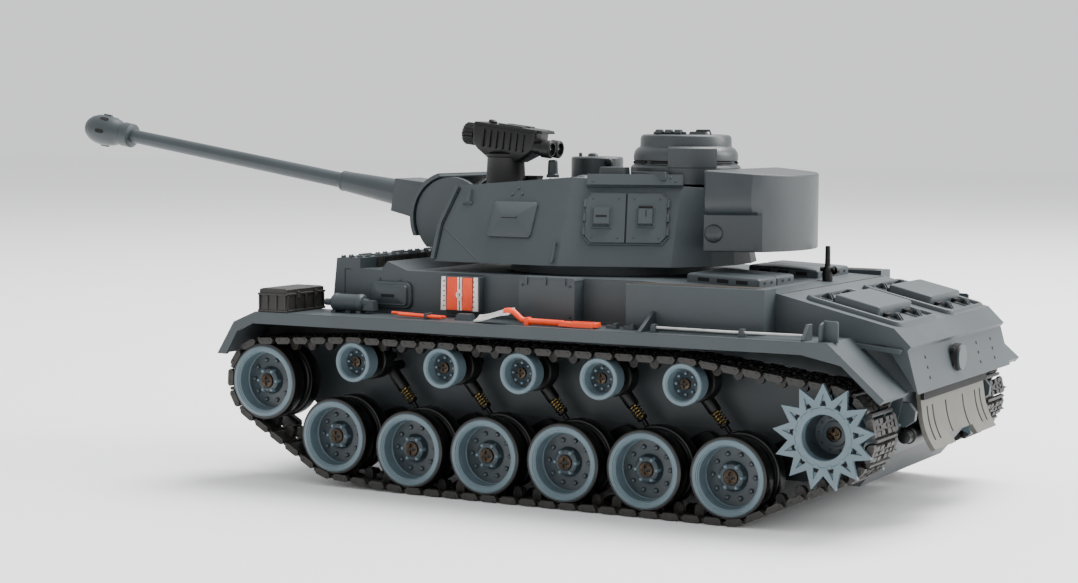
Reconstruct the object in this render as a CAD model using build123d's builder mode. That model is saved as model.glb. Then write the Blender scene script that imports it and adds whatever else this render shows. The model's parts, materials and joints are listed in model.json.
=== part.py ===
from build123d import *
import os
from math import atan2, cos, hypot, pi, radians, sin

# Radio-controlled tank, about 415 mm long over the gun, 161 mm wide.
# Drawing datum: x = 0 and z = 0 on the rearmost road-wheel axle, y = 0 on the centre plane,
# +X towards the gun, +Y to the left, +Z up.  Each piece is moved on export so that the
# model's origin lies under the middle of its footprint.

os.makedirs("parts", exist_ok=True)

# ---------------------------------------------------------------- driving dimensions (mm)
wheel_pitch = 33.0            # spacing of the road wheels
wheel_count = 6
axle_height = 17.3            # rear axle above the surface the tracks stand on
gun_tip_x = 350.4
tail_x = -62.8                # rearmost point, the cap on the rear plate
clear = 0.3                   # gap between pieces that move past each other
run_fit = 0.05                # radial clearance of a pin in its bore

wheel_face_y = 76.35          # outer face of every wheel rim
wheel_width = 19.0
disc_width = 7.35             # each half of a twin wheel
tyre_r = 14.95
rim_r = 13.8
idler_rim_r = 13.99
idler_tyre_r = 15.2
roller_r = 7.65
roller_z = 32.0
roller_pitch = 33.23
first_wheel = (166.2, 2.6)    # the front wheel sits a little forward and high
idler_at = (199.2, 22.1)
sprocket_at = (-36.06, 17.3)
sprocket_teeth = 13
sprocket_tip_r = 18.7
sprocket_root_r = 14.6
sprocket_face_y = 77.85
shaft_r = 2.6                 # drive shaft between gearbox and sprocket

track_outer_y = 76.0
track_inner_y = 52.0
track_thick = 2.1
track_gap = 0.25              # between tyre and track

hull_half = 55.5              # superstructure side
tub_half = 46.0               # lower hull side
fender_half = 80.3
fender_z = 50.0
roof_z = 66.6
wall = 2.0

turret_x = 84.0               # turret ring centre
turret_z = 70.4               # underside of the turret
gun_tilt = 9.1                # elevation in the rest position, degrees
gun_x, gun_z = 150.0, 89.5    # where the gun axis crosses the trunnion

to_origin = Location((-(gun_tip_x + tail_x) / 2, 0, axle_height))


# ---------------------------------------------------------------- helpers
def side_plane(y):
    """Sketch plane with x forward and z up at height y; it extrudes towards -Y."""
    return Plane.XZ.offset(-y)


def save(shape, name):
    """Move a finished piece from the drawing datum to the model's origin and write it."""
    placed = shape.moved(to_origin)
    placed.label = name
    export_step(placed, f"parts/{name}.step")


def save_both(shape, name):
    """Write the left-hand piece and its mirror image on the right."""
    save(shape, f"{name}_left")
    save(mirror(shape, about=Plane.XZ), f"{name}_right")


def save_group(shapes, name):
    """Write several separate solids as one node."""
    save(Compound(children=list(shapes)), name)


def both_sides(shape):
    return [shape, mirror(shape, about=Plane.XZ)]


def slab(x0, x1, y0, y1, z0, z1, edge=0.0):
    """Rectangular block between six planes, with its upright and top edges eased."""
    with BuildPart() as block:
        with Locations(((x0 + x1) / 2, (y0 + y1) / 2, (z0 + z1) / 2)):
            Box(x1 - x0, y1 - y0, z1 - z0)
        if edge:
            upright = block.edges().filter_by(Axis.Z)
            fillet(upright + block.faces().sort_by(Axis.Z)[-1].edges(), edge)
    return block.part


def rod(x, y, z, radius, length, direction=(0, 0, 1)):
    """Round bar starting at a point and running along a direction."""
    with BuildPart() as bar:
        with BuildSketch(Plane(origin=(x, y, z), z_dir=direction)):
            Circle(radius)
        extrude(amount=length)
    return bar.part


# ---------------------------------------------------------------- running gear
axle_x = [k * wheel_pitch for k in range(wheel_count - 1)] + [first_wheel[0]]
axle_z = [0.0] * (wheel_count - 1) + [first_wheel[1]]
roller_x = [18.0 + k * roller_pitch for k in range(4)] + [157.2]
pin_r = 1.95                  # wheel axle
head_r = 2.75                 # its screw head
head_depth = 2.68             # face of the head behind the rim
head_thick = 1.7
small_pin_r = 1.35            # return roller axle
small_head_r = 2.0


def twin_wheel(x, z, rim, cup, bore, hub, head, tyre=None, cup_depth=5.6):
    """Twin-disc wheel: dished front disc, hub tube and rear disc, with tyres if given."""
    seat = head_depth + head_thick + run_fit
    with BuildPart() as body:
        with BuildSketch(side_plane(wheel_face_y)):
            with Locations((x, z)):
                Circle(rim)
        extrude(amount=disc_width)
        with BuildSketch(side_plane(wheel_face_y)):
            with Locations((x, z)):
                Circle(cup)
                Circle(hub, mode=Mode.SUBTRACT)
        extrude(amount=cup_depth, mode=Mode.SUBTRACT)
        with BuildSketch(side_plane(wheel_face_y)):
            with Locations((x, z)):
                Circle(hub)
        extrude(amount=head_depth, mode=Mode.SUBTRACT)
        with BuildSketch(side_plane(wheel_face_y - disc_width)):
            with Locations((x, z)):
                Circle(hub)
        extrude(amount=wheel_width - 2 * disc_width)
        with BuildSketch(side_plane(wheel_face_y - wheel_width + disc_width)):
            with Locations((x, z)):
                Circle(rim)
        extrude(amount=disc_width)
        with BuildSketch(side_plane(wheel_face_y)):
            with Locations((x, z)):
                Circle(bore)
        extrude(amount=wheel_width, mode=Mode.SUBTRACT)
        with BuildSketch(side_plane(wheel_face_y)):
            with Locations((x, z)):
                Circle(head + clear)
        extrude(amount=seat, mode=Mode.SUBTRACT)
    solids = [body.part]
    if tyre:
        for face_y in (wheel_face_y - 0.6, wheel_face_y - wheel_width + disc_width - 0.4):
            with BuildPart() as ring:
                with BuildSketch(side_plane(face_y)):
                    with Locations((x, z)):
                        Circle(tyre)
                        Circle(rim, mode=Mode.SUBTRACT)
                extrude(amount=disc_width - 1.0)
                fillet(ring.edges().filter_by(GeomType.CIRCLE).group_by(SortBy.RADIUS)[-1], 0.6)
            solids.append(ring.part)
    return Compound(children=solids)


def axle_pin(x, z, radius, head, inner_y):
    """Axle with its screw head, from inner_y out to the recess in the wheel's hub."""
    seat_y = wheel_face_y - head_depth - head_thick
    with BuildPart() as pin:
        with BuildSketch(side_plane(seat_y)):
            with Locations((x, z)):
                Circle(radius)
        extrude(amount=seat_y - inner_y)
        with BuildSketch(side_plane(seat_y + head_thick)):
            with Locations((x, z)):
                Circle(head)
        extrude(amount=head_thick)
    return pin.part


arm_back, pivot_z = 13.0, 7.4 # the arm's pivot: behind its wheel, all at one height
arm_y0, arm_y1 = 47.2, 50.6
pivot_r = 2.6


def swing_arm(x, z):
    """Trailing arm: pivot stub into the hull side, tapered web, wheel axle with its screw."""
    back_x, back_z = x - arm_back, pivot_z
    with BuildPart() as arm:
        with BuildSketch(side_plane(arm_y1)):
            with Locations((x, z)):
                Circle(4.2)
            with Locations((back_x, back_z)):
                Circle(4.6)
            make_hull()
        extrude(amount=arm_y1 - arm_y0)
        with BuildSketch(side_plane(arm_y0)):
            with Locations((back_x, back_z)):
                Circle(pivot_r)
        extrude(amount=arm_y0 - 42.5)
        with BuildSketch(side_plane(wheel_face_y - wheel_width - clear)):
            with Locations((x, z)):
                Circle(3.6)
        extrude(amount=wheel_face_y - wheel_width - clear - arm_y0)
        add(axle_pin(x, z, pin_r, head_r, arm_y0))
    return arm.part


for k, (x, z) in enumerate(zip(axle_x, axle_z)):
    number = wheel_count - k
    wheel = twin_wheel(x, z, rim_r, 11.1, pin_r + run_fit, 5.15, head_r, tyre_r)
    save_both(wheel, f"road_wheel_{number}")
    save_both(swing_arm(x, z), f"swing_arm_{number}")

for k, x in enumerate(roller_x):
    roller = twin_wheel(x, roller_z, roller_r, 5.8, small_pin_r + run_fit, 3.9, small_head_r,
                        cup_depth=4.2)
    save_both(roller, f"return_roller_{len(roller_x) - k}")

idler = twin_wheel(*idler_at, idler_rim_r, 11.1, pin_r + run_fit, 5.15, head_r, idler_tyre_r)
save_both(idler, "idler_wheel")

fixed_pins = [axle_pin(x, roller_z, small_pin_r, small_head_r, tub_half) for x in roller_x]
fixed_pins.append(axle_pin(*idler_at, pin_r, head_r, tub_half))
save_group([s for pin in fixed_pins for s in both_sides(pin)], "roller_axles")


def star_points(tip_r, root_r, teeth, first_angle=90.0):
    """Outline of a pointed star, tip first."""
    step = 360.0 / teeth
    points = []
    for k in range(teeth):
        for radius, angle in ((tip_r, k * step), (root_r, (k + 0.5) * step)):
            turn = radians(first_angle + angle)
            points.append((radius * cos(turn), radius * sin(turn)))
    return points


def sprocket():
    """Drive sprocket: toothed outer and inner rings on a grooved drum with a deep hub cup."""
    star = star_points(sprocket_tip_r, sprocket_root_r, sprocket_teeth, 89.0)
    window_ring_r = 12.6
    with BuildPart() as body:
        ring_bottoms = (sprocket_face_y, track_inner_y - 0.3)
        for face_y in ring_bottoms:
            with BuildSketch(side_plane(face_y)):
                with Locations(sprocket_at):
                    Polygon(*star, align=None)
                    with PolarLocations(window_ring_r, sprocket_teeth, start_angle=89.0):
                        RegularPolygon(1.7, 3, mode=Mode.SUBTRACT)
            extrude(amount=1.45)
        with BuildSketch(side_plane(sprocket_face_y)):
            with Locations(sprocket_at):
                Circle(10.45)
        extrude(amount=sprocket_face_y - (track_inner_y - 1.75))
        with BuildSketch(side_plane(70.5)):
            with Locations(sprocket_at):
                Circle(10.45)
                Circle(8.9, mode=Mode.SUBTRACT)
        extrude(amount=7.0, mode=Mode.SUBTRACT)
        with BuildSketch(side_plane(sprocket_face_y)):
            with Locations(sprocket_at):
                Circle(7.9)
        extrude(amount=11.8, mode=Mode.SUBTRACT)
        with BuildSketch(side_plane(sprocket_face_y - 10.1)):
            with Locations(sprocket_at):
                Circle(2.5)
        extrude(amount=1.7)
        with BuildSketch(side_plane(track_inner_y - 1.75)):
            with Locations(sprocket_at):
                Circle(shaft_r)
        extrude(amount=track_inner_y - 1.75 - 38.0)
    return body.part


save_both(sprocket(), "drive_sprocket")


# ---------------------------------------------------------------- tracks
def tangent_loop(circles):
    """Closed belt line round circles listed anticlockwise: straight runs and arcs."""
    runs = []
    count = len(circles)
    for k in range(count):
        (x0, z0, r0), (x1, z1, r1) = circles[k], circles[(k + 1) % count]
        base = atan2(z1 - z0, x1 - x0)
        lean = (r0 - r1) / hypot(x1 - x0, z1 - z0)
        normal = base - pi / 2 + lean
        runs.append(((x0 + r0 * cos(normal), z0 + r0 * sin(normal)),
                     (x1 + r1 * cos(normal), z1 + r1 * sin(normal))))
    return runs


belt_r = tyre_r + track_gap
belt_circles = [
    (axle_x[0], axle_z[0], belt_r),
    (axle_x[4], axle_z[4], belt_r),
    (first_wheel[0], first_wheel[1], belt_r),
    (idler_at[0], idler_at[1], idler_tyre_r + track_gap),
    (roller_x[4], roller_z, roller_r + track_gap),
    (roller_x[0], roller_z, roller_r + track_gap),
    (sprocket_at[0], sprocket_at[1], 16.2),
]


def belt_band(outset):
    """Solid as wide as the track, inside the belt line moved outwards by outset."""
    circles = [(x, z, r + outset) for x, z, r in belt_circles]
    runs = tangent_loop(circles)
    with BuildPart() as band:
        with BuildSketch(side_plane(track_outer_y)):
            with BuildLine():
                for k, (start, end) in enumerate(runs):
                    Line(start, end)
                    nxt = runs[(k + 1) % len(runs)][0]
                    cx, cz, cr = circles[(k + 1) % len(circles)]
                    if hypot(nxt[0] - end[0], nxt[1] - end[1]) > 1e-6:
                        mid = ((end[0] + nxt[0]) / 2 - cx, (end[1] + nxt[1]) / 2 - cz)
                        scale = cr / hypot(*mid)
                        ThreePointArc(end, (cx + mid[0] * scale, cz + mid[1] * scale), nxt)
            make_face()
        extrude(amount=track_outer_y - track_inner_y)
    return band.part


# each track is one closed band of the links' own thickness
track = belt_band(track_thick) - belt_band(0.0)
save_both(track, "track")

# ---------------------------------------------------------------- lower hull
tub_floor, tub_top = -4.0, 11.6
tub_side = [(-50, 13), (-47, 7), (-38, tub_floor), (176, tub_floor), (196, 12), (186, tub_top)]


def lower_hull():
    """Light grey chassis tub: floor, sides with arm bearings, and sloped ends."""
    with BuildPart() as tub:
        with BuildSketch(side_plane(tub_half)):
            with BuildLine():
                Polyline(*tub_side, close=True)
            make_face()
        extrude(amount=2 * tub_half)
        with BuildSketch(side_plane(tub_half - 3.0)):
            with BuildLine():
                Polyline((-45, 20), (-43, 8), (-36.6, tub_floor + wall), (175, tub_floor + wall),
                         (190, 10.5), (190, 20), close=True)
            make_face()
        extrude(amount=2 * (tub_half - 3.0), mode=Mode.SUBTRACT)
        with BuildSketch(side_plane(tub_half + 1)):
            with Locations(*[(x - arm_back, pivot_z) for x in axle_x]):
                Circle(pivot_r + run_fit)
        extrude(amount=2 * tub_half + 2, mode=Mode.SUBTRACT)
        with Locations((60.0, 0, tub_floor)):
            Box(14, 6, 10, mode=Mode.SUBTRACT)
    return tub.part


save(lower_hull(), "lower_hull")

switch = slab(56.0, 60.0, -2.6, 2.6, tub_floor - 0.8, tub_floor + wall + 0.6)
switch_base = slab(54.0, 66.0, -4.5, 4.5, tub_floor + wall + 0.9, tub_floor + wall + 5.0)
save(switch, "power_switch")

# ---------------------------------------------------------------- upper hull
deck_break = (-53.0, 53.9)    # rear edge of the sloped engine deck
deck_knee = (-9.5, 64.2)      # where the engine deck meets the gentler roof behind the turret
roof_knee = (45.0, roof_z)


def upper_hull():
    """Superstructure, side walls, fenders and sloped engine deck in one moulding."""
    outer_line = [(-59.3, 47.7), deck_break, deck_knee, roof_knee, (145.0, roof_z),
                  (154.5, 70.0), (157.0, roof_z), (167.0, roof_z), (167.0, 70.9), (178.0, 70.6),
                  (180.2, 50.0),
                  (196.0, 46.0), (205.0, 30.0), (196.0, 12.0), (186.0, tub_top), (-50.0, 13.0),
                  (-54.0, 31.0), (-62.1, 31.4), (-58.0, 46.3)]
    with BuildPart() as hull:
        with BuildSketch(side_plane(hull_half)):
            with BuildLine():
                Polyline(*outer_line, close=True)
            make_face()
        extrude(amount=2 * hull_half)
        # the side below the fenders steps in to the tub's width
        for y0 in (tub_half, -hull_half - 1):
            with BuildSketch(side_plane(y0 + hull_half + 1 - tub_half)):
                with BuildLine():
                    Polyline((-50, 48), (-70, 20), (-70, 0), (230, 0), (230, 48), close=True)
                make_face()
            extrude(amount=hull_half + 1 - tub_half, mode=Mode.SUBTRACT)
        # inside, wider above the fenders
        with BuildSketch(side_plane(tub_half - wall)):
            with BuildLine():
                Polyline((-56.0, 45.0), (-51.4, 52.0), (-8.2, 62.2), (45.0, roof_z - wall),
                         (176.0, roof_z - wall), (178.0, 50.0), (193.0, 45.5), (202.0, 30.0),
                         (194.0, 13.0), (190.0, 5.0), (-46.0, 5.0), (-50.0, 33.4),
                         (-59.0, 33.4), close=True)
            make_face()
        extrude(amount=2 * (tub_half - wall), mode=Mode.SUBTRACT)
        with BuildSketch(side_plane(hull_half - wall)):
            with BuildLine():
                Polyline((-42.0, 50.5), (-42.0, 54.0), (-8.2, 62.2), (45.0, roof_z - wall),
                         (176.0, roof_z - wall), (177.5, 50.5), close=True)
            make_face()
        extrude(amount=2 * (hull_half - wall), mode=Mode.SUBTRACT)
        # holes for the drive shafts
        with BuildSketch(side_plane(tub_half + 1)):
            with Locations(sprocket_at):
                Circle(shaft_r + clear)
        extrude(amount=2 * tub_half + 2, mode=Mode.SUBTRACT)
        # turret ring opening
        with BuildSketch(Plane.XY.offset(roof_z - 5)):
            with Locations((turret_x, 0)):
                Circle(40.3)
        extrude(amount=10, mode=Mode.SUBTRACT)
        # fenders: top plate with a turned-down edge and sloped ends
        for y0 in (fender_half, -hull_half + 0.5):
            with BuildSketch(side_plane(y0)):
                with BuildLine():
                    Polyline((-37.9, fender_z), (200.0, fender_z), (210.3, 45.6), (218.3, 32.6),
                             (216.6, 32.6), (208.9, 44.6), (199.6, 48.4), (-37.0, 48.4),
                             (-57.0, 30.2), (-58.6, 31.8), close=True)
                make_face()
            extrude(amount=fender_half - hull_half + 0.5)
        for y0 in (fender_half, -fender_half + 1.6):
            with BuildSketch(side_plane(y0)):
                with BuildLine():
                    Polyline((-37.9, fender_z), (200.0, fender_z), (210.3, 45.6), (218.3, 32.6),
                             (214.1, 32.5), (208.6, 42.0), (201.5, 45.3), (-28.4, 45.6),
                             (-42.9, 42.6), (-57.0, 30.0), (-58.6, 31.8), close=True)
                make_face()
            extrude(amount=1.6)
        # round cap on the rear plate
        with BuildSketch(Plane(origin=(tail_x, 7.5, 40.2), z_dir=(1, 0, 0))):
            Circle(4.6)
        extrude(amount=-tail_x - 59.5)
    return hull.part


hull = upper_hull()
save(hull, "upper_hull")


# ---------------------------------------------------------------- hull details
def rear_deflector():
    """Curved plate with six slots that hangs below the rear plate."""
    half = 37.0
    with BuildPart() as plate:
        with BuildSketch(side_plane(half)):
            with BuildLine():
                Line((-56.6, 29.5), (-57.6, 22.5))
                RadiusArc((-57.6, 22.5), (-62.6, 9.8), 26)
                Line((-62.6, 9.8), (-61.2, 9.2))
                RadiusArc((-61.2, 9.2), (-56.0, 22.5), -26)
                Line((-56.0, 22.5), (-55.0, 29.5))
                Line((-55.0, 29.5), (-56.6, 29.5))
            make_face()
        extrude(amount=2 * half)
        with BuildSketch(Plane.YZ.offset(-70)):
            with Locations(*[(y, 18.5) for y in (-31, -25, -10, 10, 25, 31)]):
                Rectangle(1.4, 12.0)
            with Locations((0, 9)):
                Rectangle(26, 8)
        extrude(amount=20, mode=Mode.SUBTRACT)
    return plate.part


save(rear_deflector(), "rear_deflector")


def slope_plane(low, high, along_x, y_mid):
    """Plane lying on the deck line between two points (x, z), centred at x = along_x."""
    rise = (high[1] - low[1]) / (high[0] - low[0])
    flat = cos(atan2(rise, 1))
    return Plane(origin=(along_x, y_mid, low[1] + rise * (along_x - low[0])),
                 x_dir=(flat, 0, rise * flat), z_dir=(-rise * flat, 0, flat))


def engine_cover(y_mid):
    """Raised slab on a rounded frame, lying on the sloped engine deck."""
    deck = slope_plane(deck_break, deck_knee, -35.2, y_mid)
    with BuildPart() as cover:
        with BuildSketch(deck):
            RectangleRounded(37.2, 43.6, 4)
        extrude(amount=1.2)
        with BuildSketch(deck.offset(1.2)):
            RectangleRounded(33.0, 39.4, 2.5)
        extrude(amount=-0.8, mode=Mode.SUBTRACT)
        with BuildSketch(deck.offset(0.4)):
            RectangleRounded(17.6, 35.2, 1)
        extrude(amount=3.5)
    return cover.part


def intake_box(y_mid):
    """Slotted air intake box on the roof behind the turret."""
    deck = slope_plane(deck_knee, roof_knee, 16.0, y_mid)
    length, width, height = 29.0, 16.6, 3.6
    with BuildPart() as box:
        with BuildSketch(deck):
            Rectangle(length, width)
        extrude(amount=height)
        fillet(box.edges().group_by(SortBy.LENGTH)[0], 1.0)
        with BuildSketch(deck.offset(1.0)):
            with GridLocations(9.6, width, 3, 2):
                Rectangle(4.8, 2.4)
            with GridLocations(length, 7.0, 2, 2):
                Rectangle(2.4, 2.6)
        extrude(amount=1.4, mode=Mode.SUBTRACT)
    return box.part


covers = [engine_cover(y) for y in (28.7, -28.7)]
covers += [intake_box(y) for y in (37.7, 20.5, -20.5, -37.7)]
save_group(covers, "engine_deck_covers")


def fender_boxes():
    """Stowage standing on the fenders: long bin, tool boxes and silencer drum, both sides."""
    pieces = [slab(-9.0, 45.6, hull_half, 66.0, fender_z, 66.2, 0.5),
              slab(68.0, 91.5, hull_half, 63.0, fender_z + 0.2, 66.8, 0.5),
              rod(175.5, 64.0, 53.8, 3.75, -14.5, (1, 0, 0)),
              slab(163, 173, 63.2, 64.8, fender_z, 51.0)]
    return pieces


crate = slab(185.2, 198.7, 53.3, 79.8, fender_z, 59.3)
save_group([s for p in fender_boxes() for s in both_sides(p)] + [crate], "fender_boxes")

first_box = slab(110.5, 127.8, hull_half, 60.0, 52.2, 65.6)
shovel = slab(53.0, 84.0, 72.5, 75.0, fender_z, 52.3, 0.8)
blade = slab(85.0, 103.6, 71.0, 77.0, fender_z, 52.6, 0.8)
bars = [rod(142.0, 71.0 + 2.4 * k, 51.3, 0.7, -24.0, (1, 0, 0)) for k in range(2)]
save_group([first_box, shovel, blade] + bars, "fender_tools")

# ---------------------------------------------------------------- shock absorbers
shocks = []
for k in range(5):
    top = (18.0 + 2.6 + k * roller_pitch, 54.0, 27.5)
    lean = Vector(-10.6, 0, -10.3).normalized()
    with BuildPart() as shock:
        with BuildSketch(Plane(origin=top, z_dir=tuple(lean))):
            Circle(2.2)
        extrude(amount=10.5)
        with BuildSketch(Plane(origin=tuple(Vector(*top) + lean * 10.5), z_dir=tuple(lean))):
            Circle(1.5)
        extrude(amount=6.0)
        with BuildSketch(Plane(origin=(top[0], tub_half, top[2] + 1.0), z_dir=(0, 1, 0))):
            Circle(1.8)
        extrude(amount=9.0)
    shocks.append(shock.part)
save_group([s for shock in shocks for s in both_sides(shock)], "shock_absorbers")

# ---------------------------------------------------------------- inside the hull
gear_cases = []
with BuildPart() as gearbox:
    with Locations((-28.0, 30.0, 19.5)):
        Box(26, 17, 22)
    with BuildSketch(side_plane(40)):
        with Locations(sprocket_at):
            Circle(shaft_r + run_fit)
    extrude(amount=30, mode=Mode.SUBTRACT)
    with BuildSketch(side_plane(26)):
        with Locations((-20.0, 17.0)):
            Circle(8.2)
    extrude(amount=24)
gear_cases += both_sides(gearbox.part)
with BuildPart() as traverse:
    with Locations((turret_x + 28.0, 0, 40.0)):
        Box(16, 16, 26)
    with BuildSketch(Plane.XY.offset(53.0)):
        with Locations((turret_x + 28.0, 0)):
            Circle(3.0)
    extrude(amount=6)
gear_cases.append(traverse.part)
save_group(gear_cases, "motor_units")

save(slab(70.0, 146.0, -23.0, 23.0, tub_floor + wall, 20.0, 2.0), "battery_pack")
board = slab(4.0, 50.0, -30.0, 30.0, 22.0, 23.6)
chips = [slab(12 + 9 * k, 18 + 9 * k, -20 + 8 * k, -12 + 8 * k, 23.6, 25.4) for k in range(4)]
save_group([board, switch_base] + chips, "circuit_board")

# ---------------------------------------------------------------- turret
# half outline of the turret, front to rear, at its underside and at roof level
roof_ridge_z = 103.7
roof_level = 104.0
plan_low = [(138.5, 49.2), (82.0, 50.5), (42.0, 35.0), (31.0, 22.0), (27.5, 8.0)]
plan_high = [(136.6, 33.4), (84.0, 34.7), (44.0, 20.6), (36.0, 14.0), (33.0, 6.0)]


def plan(points, z):
    """Symmetric outline from its left half, as a sketch at height z."""
    with BuildSketch(Plane.XY.offset(z)) as area:
        with BuildLine():
            Polyline(*points, *[(x, -y) for x, y in reversed(points)], close=True)
        make_face()
    return area.sketch


def shrink(points, by):
    """Outline with its wall thickness taken off, front, rear and side."""
    return [(x - by if x > 100 else x + by, y - by) for x, y in points]


def turret_shell():
    """Faceted turret body with a sloping roof, open below and at the gun."""
    with BuildPart() as shell:
        add(plan(plan_low, turret_z))
        add(plan(plan_high, roof_level))
        loft()
        inside = loft([plan(shrink(plan_low, 2.2), turret_z - 0.01),
                       plan(shrink(plan_high, 2.2), roof_level - 6.0)], mode=Mode.PRIVATE)
        add(inside, mode=Mode.SUBTRACT)
        # roof falls gently to the front and to the rear from a ridge
        with BuildSketch(side_plane(60)):
            with BuildLine():
                Polyline((84.0, roof_ridge_z), (145.0, 98.6), (145.0, 120.0), (20.0, 120.0),
                         (20.0, 98.7), close=True)
            make_face()
        extrude(amount=120, mode=Mode.SUBTRACT)
        # opening for the gun
        with BuildSketch(Plane.YZ.offset(120)):
            with Locations((0, 86.0)):
                Rectangle(39.8, 25)
        extrude(amount=30, mode=Mode.SUBTRACT)
        # cheeks that carry the trunnion
        for y0 in (22.4, -19.9):
            with BuildSketch(side_plane(y0)):
                with Locations((145.4, 86.0)):
                    Circle(16.4)
                with Locations((141.5, 86.0)):
                    Rectangle(10.0, 27.0)
                with Locations((124.0, 86.0)):
                    Rectangle(24.8, 60.0, mode=Mode.SUBTRACT)
                with Locations((145.4, 86.0)):
                    Circle(2.0 + run_fit, mode=Mode.SUBTRACT)
                with Locations((145.4, 64.0)):
                    Rectangle(60.0, 20.0, mode=Mode.SUBTRACT)
            extrude(amount=2.5)
    return shell.part


save(turret_shell(), "turret_shell")


def turret_base():
    """Floor of the turret with the round skirt that turns in the hull's ring opening."""
    with BuildPart() as base:
        add(plan(shrink(plan_low, 4.5), turret_z))
        extrude(amount=2.0)
        with BuildSketch(Plane.XY.offset(turret_z - 7.0)):
            with Locations((turret_x, 0)):
                Circle(40.0)
                Circle(36.0, mode=Mode.SUBTRACT)
        extrude(amount=7.0)
        with BuildSketch(Plane.XY.offset(turret_z - 1)):
            with Locations((turret_x, 0)):
                Circle(36.0)
        extrude(amount=5, mode=Mode.SUBTRACT)
    return base.part


save(turret_base(), "turret_base")


def stowage_bin():
    """Rear bin: straight tapering sides with a bulged upper half and a round back."""
    with BuildPart() as box:
        with BuildSketch(Plane.XY.offset(76.9)):
            with BuildLine():
                Polyline((8.5, 27.0), (28.7, 35.0), (40.0, 35.0), (40.0, -35.0), (28.7, -35.0),
                         (8.5, -27.0))
                ThreePointArc((8.5, -27.0), (0.5, 0.0), (8.5, 27.0))
            make_face()
        extrude(amount=31.5)
        with BuildSketch(side_plane(60)):
            with BuildLine():
                Polyline((-5.0, 105.4), (40.0, 108.4), (60.0, 108.4), (60.0, 120.0), (-5.0, 120.0),
                         close=True)
            make_face()
        extrude(amount=120, mode=Mode.SUBTRACT)
    return box.part


with BuildPart() as turret_solid:
    add(plan(plan_low, turret_z))
    add(plan(plan_high, roof_level))
    loft()
save((stowage_bin() - turret_solid.part).solids().sort_by(Axis.X)[0], "stowage_bin")


def cupola():
    """Commander's cupola: drum with a stepped lid, standing on the roof."""
    with BuildPart() as drum:
        for z0, z1, radius in ((102.6, 106.6, 21.0), (106.6, 114.0, 20.0), (114.0, 119.0, 18.4)):
            with BuildSketch(Plane.XY.offset(z0)):
                with Locations((52.2, 0)):
                    Circle(radius)
            extrude(amount=z1 - z0)
        with Locations((52.2, 4.0, 119.6), (52.2, -5.0, 119.6)):
            Box(9, 4, 1.6)
    return drum.part


def hatch_drum():
    """Loader's hatch drum and small roof fittings."""
    with BuildPart() as drum:
        with BuildSketch(Plane.XY.offset(101.0)):
            with Locations((100.0, -18.0)):
                Circle(10.6)
        extrude(amount=9.4)
    return drum.part


cupola_solid = cupola() - stowage_bin() - turret_solid.part
save_group(cupola_solid.solids().sort_by(SortBy.VOLUME)[-1:] + [hatch_drum() - turret_shell()],
           "cupola_and_hatch")

# ---------------------------------------------------------------- roof sight
sight_x, sight_y = 122.5, 18.0
with BuildPart() as sight:
    with BuildSketch(Plane.XY.offset(99.0)):
        with Locations((sight_x, sight_y)):
            Circle(8.2)
    with BuildSketch(Plane.XY.offset(112.0)):
        with Locations((sight_x, sight_y)):
            Circle(7.4)
    loft()
    head_plane = Plane(origin=(sight_x - 1.0, sight_y, 111.0), z_dir=(-sin(radians(7)), 0, cos(radians(7))),
                       x_dir=(cos(radians(7)), 0, sin(radians(7))))
    with BuildSketch(head_plane):
        RectangleRounded(29, 13, 2)
    extrude(amount=12.0)
    with BuildSketch(Plane(origin=tuple(head_plane.from_local_coords(Vector(14, 0, 7.5))),
                           z_dir=tuple(head_plane.x_dir))):
        Circle(4.6)
    extrude(amount=5.5)
    with BuildSketch(Plane(origin=tuple(head_plane.from_local_coords(Vector(-14, 0, 5.0))),
                           z_dir=tuple(-head_plane.x_dir), x_dir=(0, 1, 0))):
        with Locations((3.6, 0), (-3.6, 0)):
            Circle(3.2)
    extrude(amount=6.5)
save(sight.part - turret_solid.part, "roof_sight")

# ---------------------------------------------------------------- gun
gun_dir = (cos(radians(gun_tilt)), 0, sin(radians(gun_tilt)))
trunnion = (145.4, 86.0)
shield_r, shield_half = 18.6, 23.5
gun_line = Plane(origin=(gun_x, 0, gun_z), z_dir=gun_dir, x_dir=(0, 1, 0))


def along(distance):
    """Sketch plane square to the gun at a distance in front of the trunnion."""
    return gun_line.offset(distance)


def mantlet():
    """Trunnion drum with its curved shield and the tapered block round the barrel's root."""
    with BuildPart() as body:
        with BuildSketch(side_plane(19.5)):
            with Locations(trunnion):
                Circle(13.0)
        extrude(amount=39.0)
        with BuildSketch(side_plane(22.6)):
            with Locations(trunnion):
                Circle(2.0)
        extrude(amount=45.2)
        with BuildSketch(side_plane(shield_half)):
            with Locations(trunnion):
                Circle(shield_r)
                Circle(shield_r - 1.6, mode=Mode.SUBTRACT)
                with Locations((-shield_r + 5.0, 0)):
                    Rectangle(2 * shield_r, 60, mode=Mode.SUBTRACT)
                with Locations((0, -17.5)):
                    Rectangle(60, 20, mode=Mode.SUBTRACT)
        extrude(amount=2 * shield_half)
        with BuildSketch(along(2.0)):
            Rectangle(22.5, 17.0)
        with BuildSketch(along(31.0)):
            Rectangle(20.0, 13.6)
        loft()
        with BuildSketch(along(-25)):
            Circle(5.0)
        extrude(amount=60, mode=Mode.SUBTRACT)
    return body.part


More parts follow.
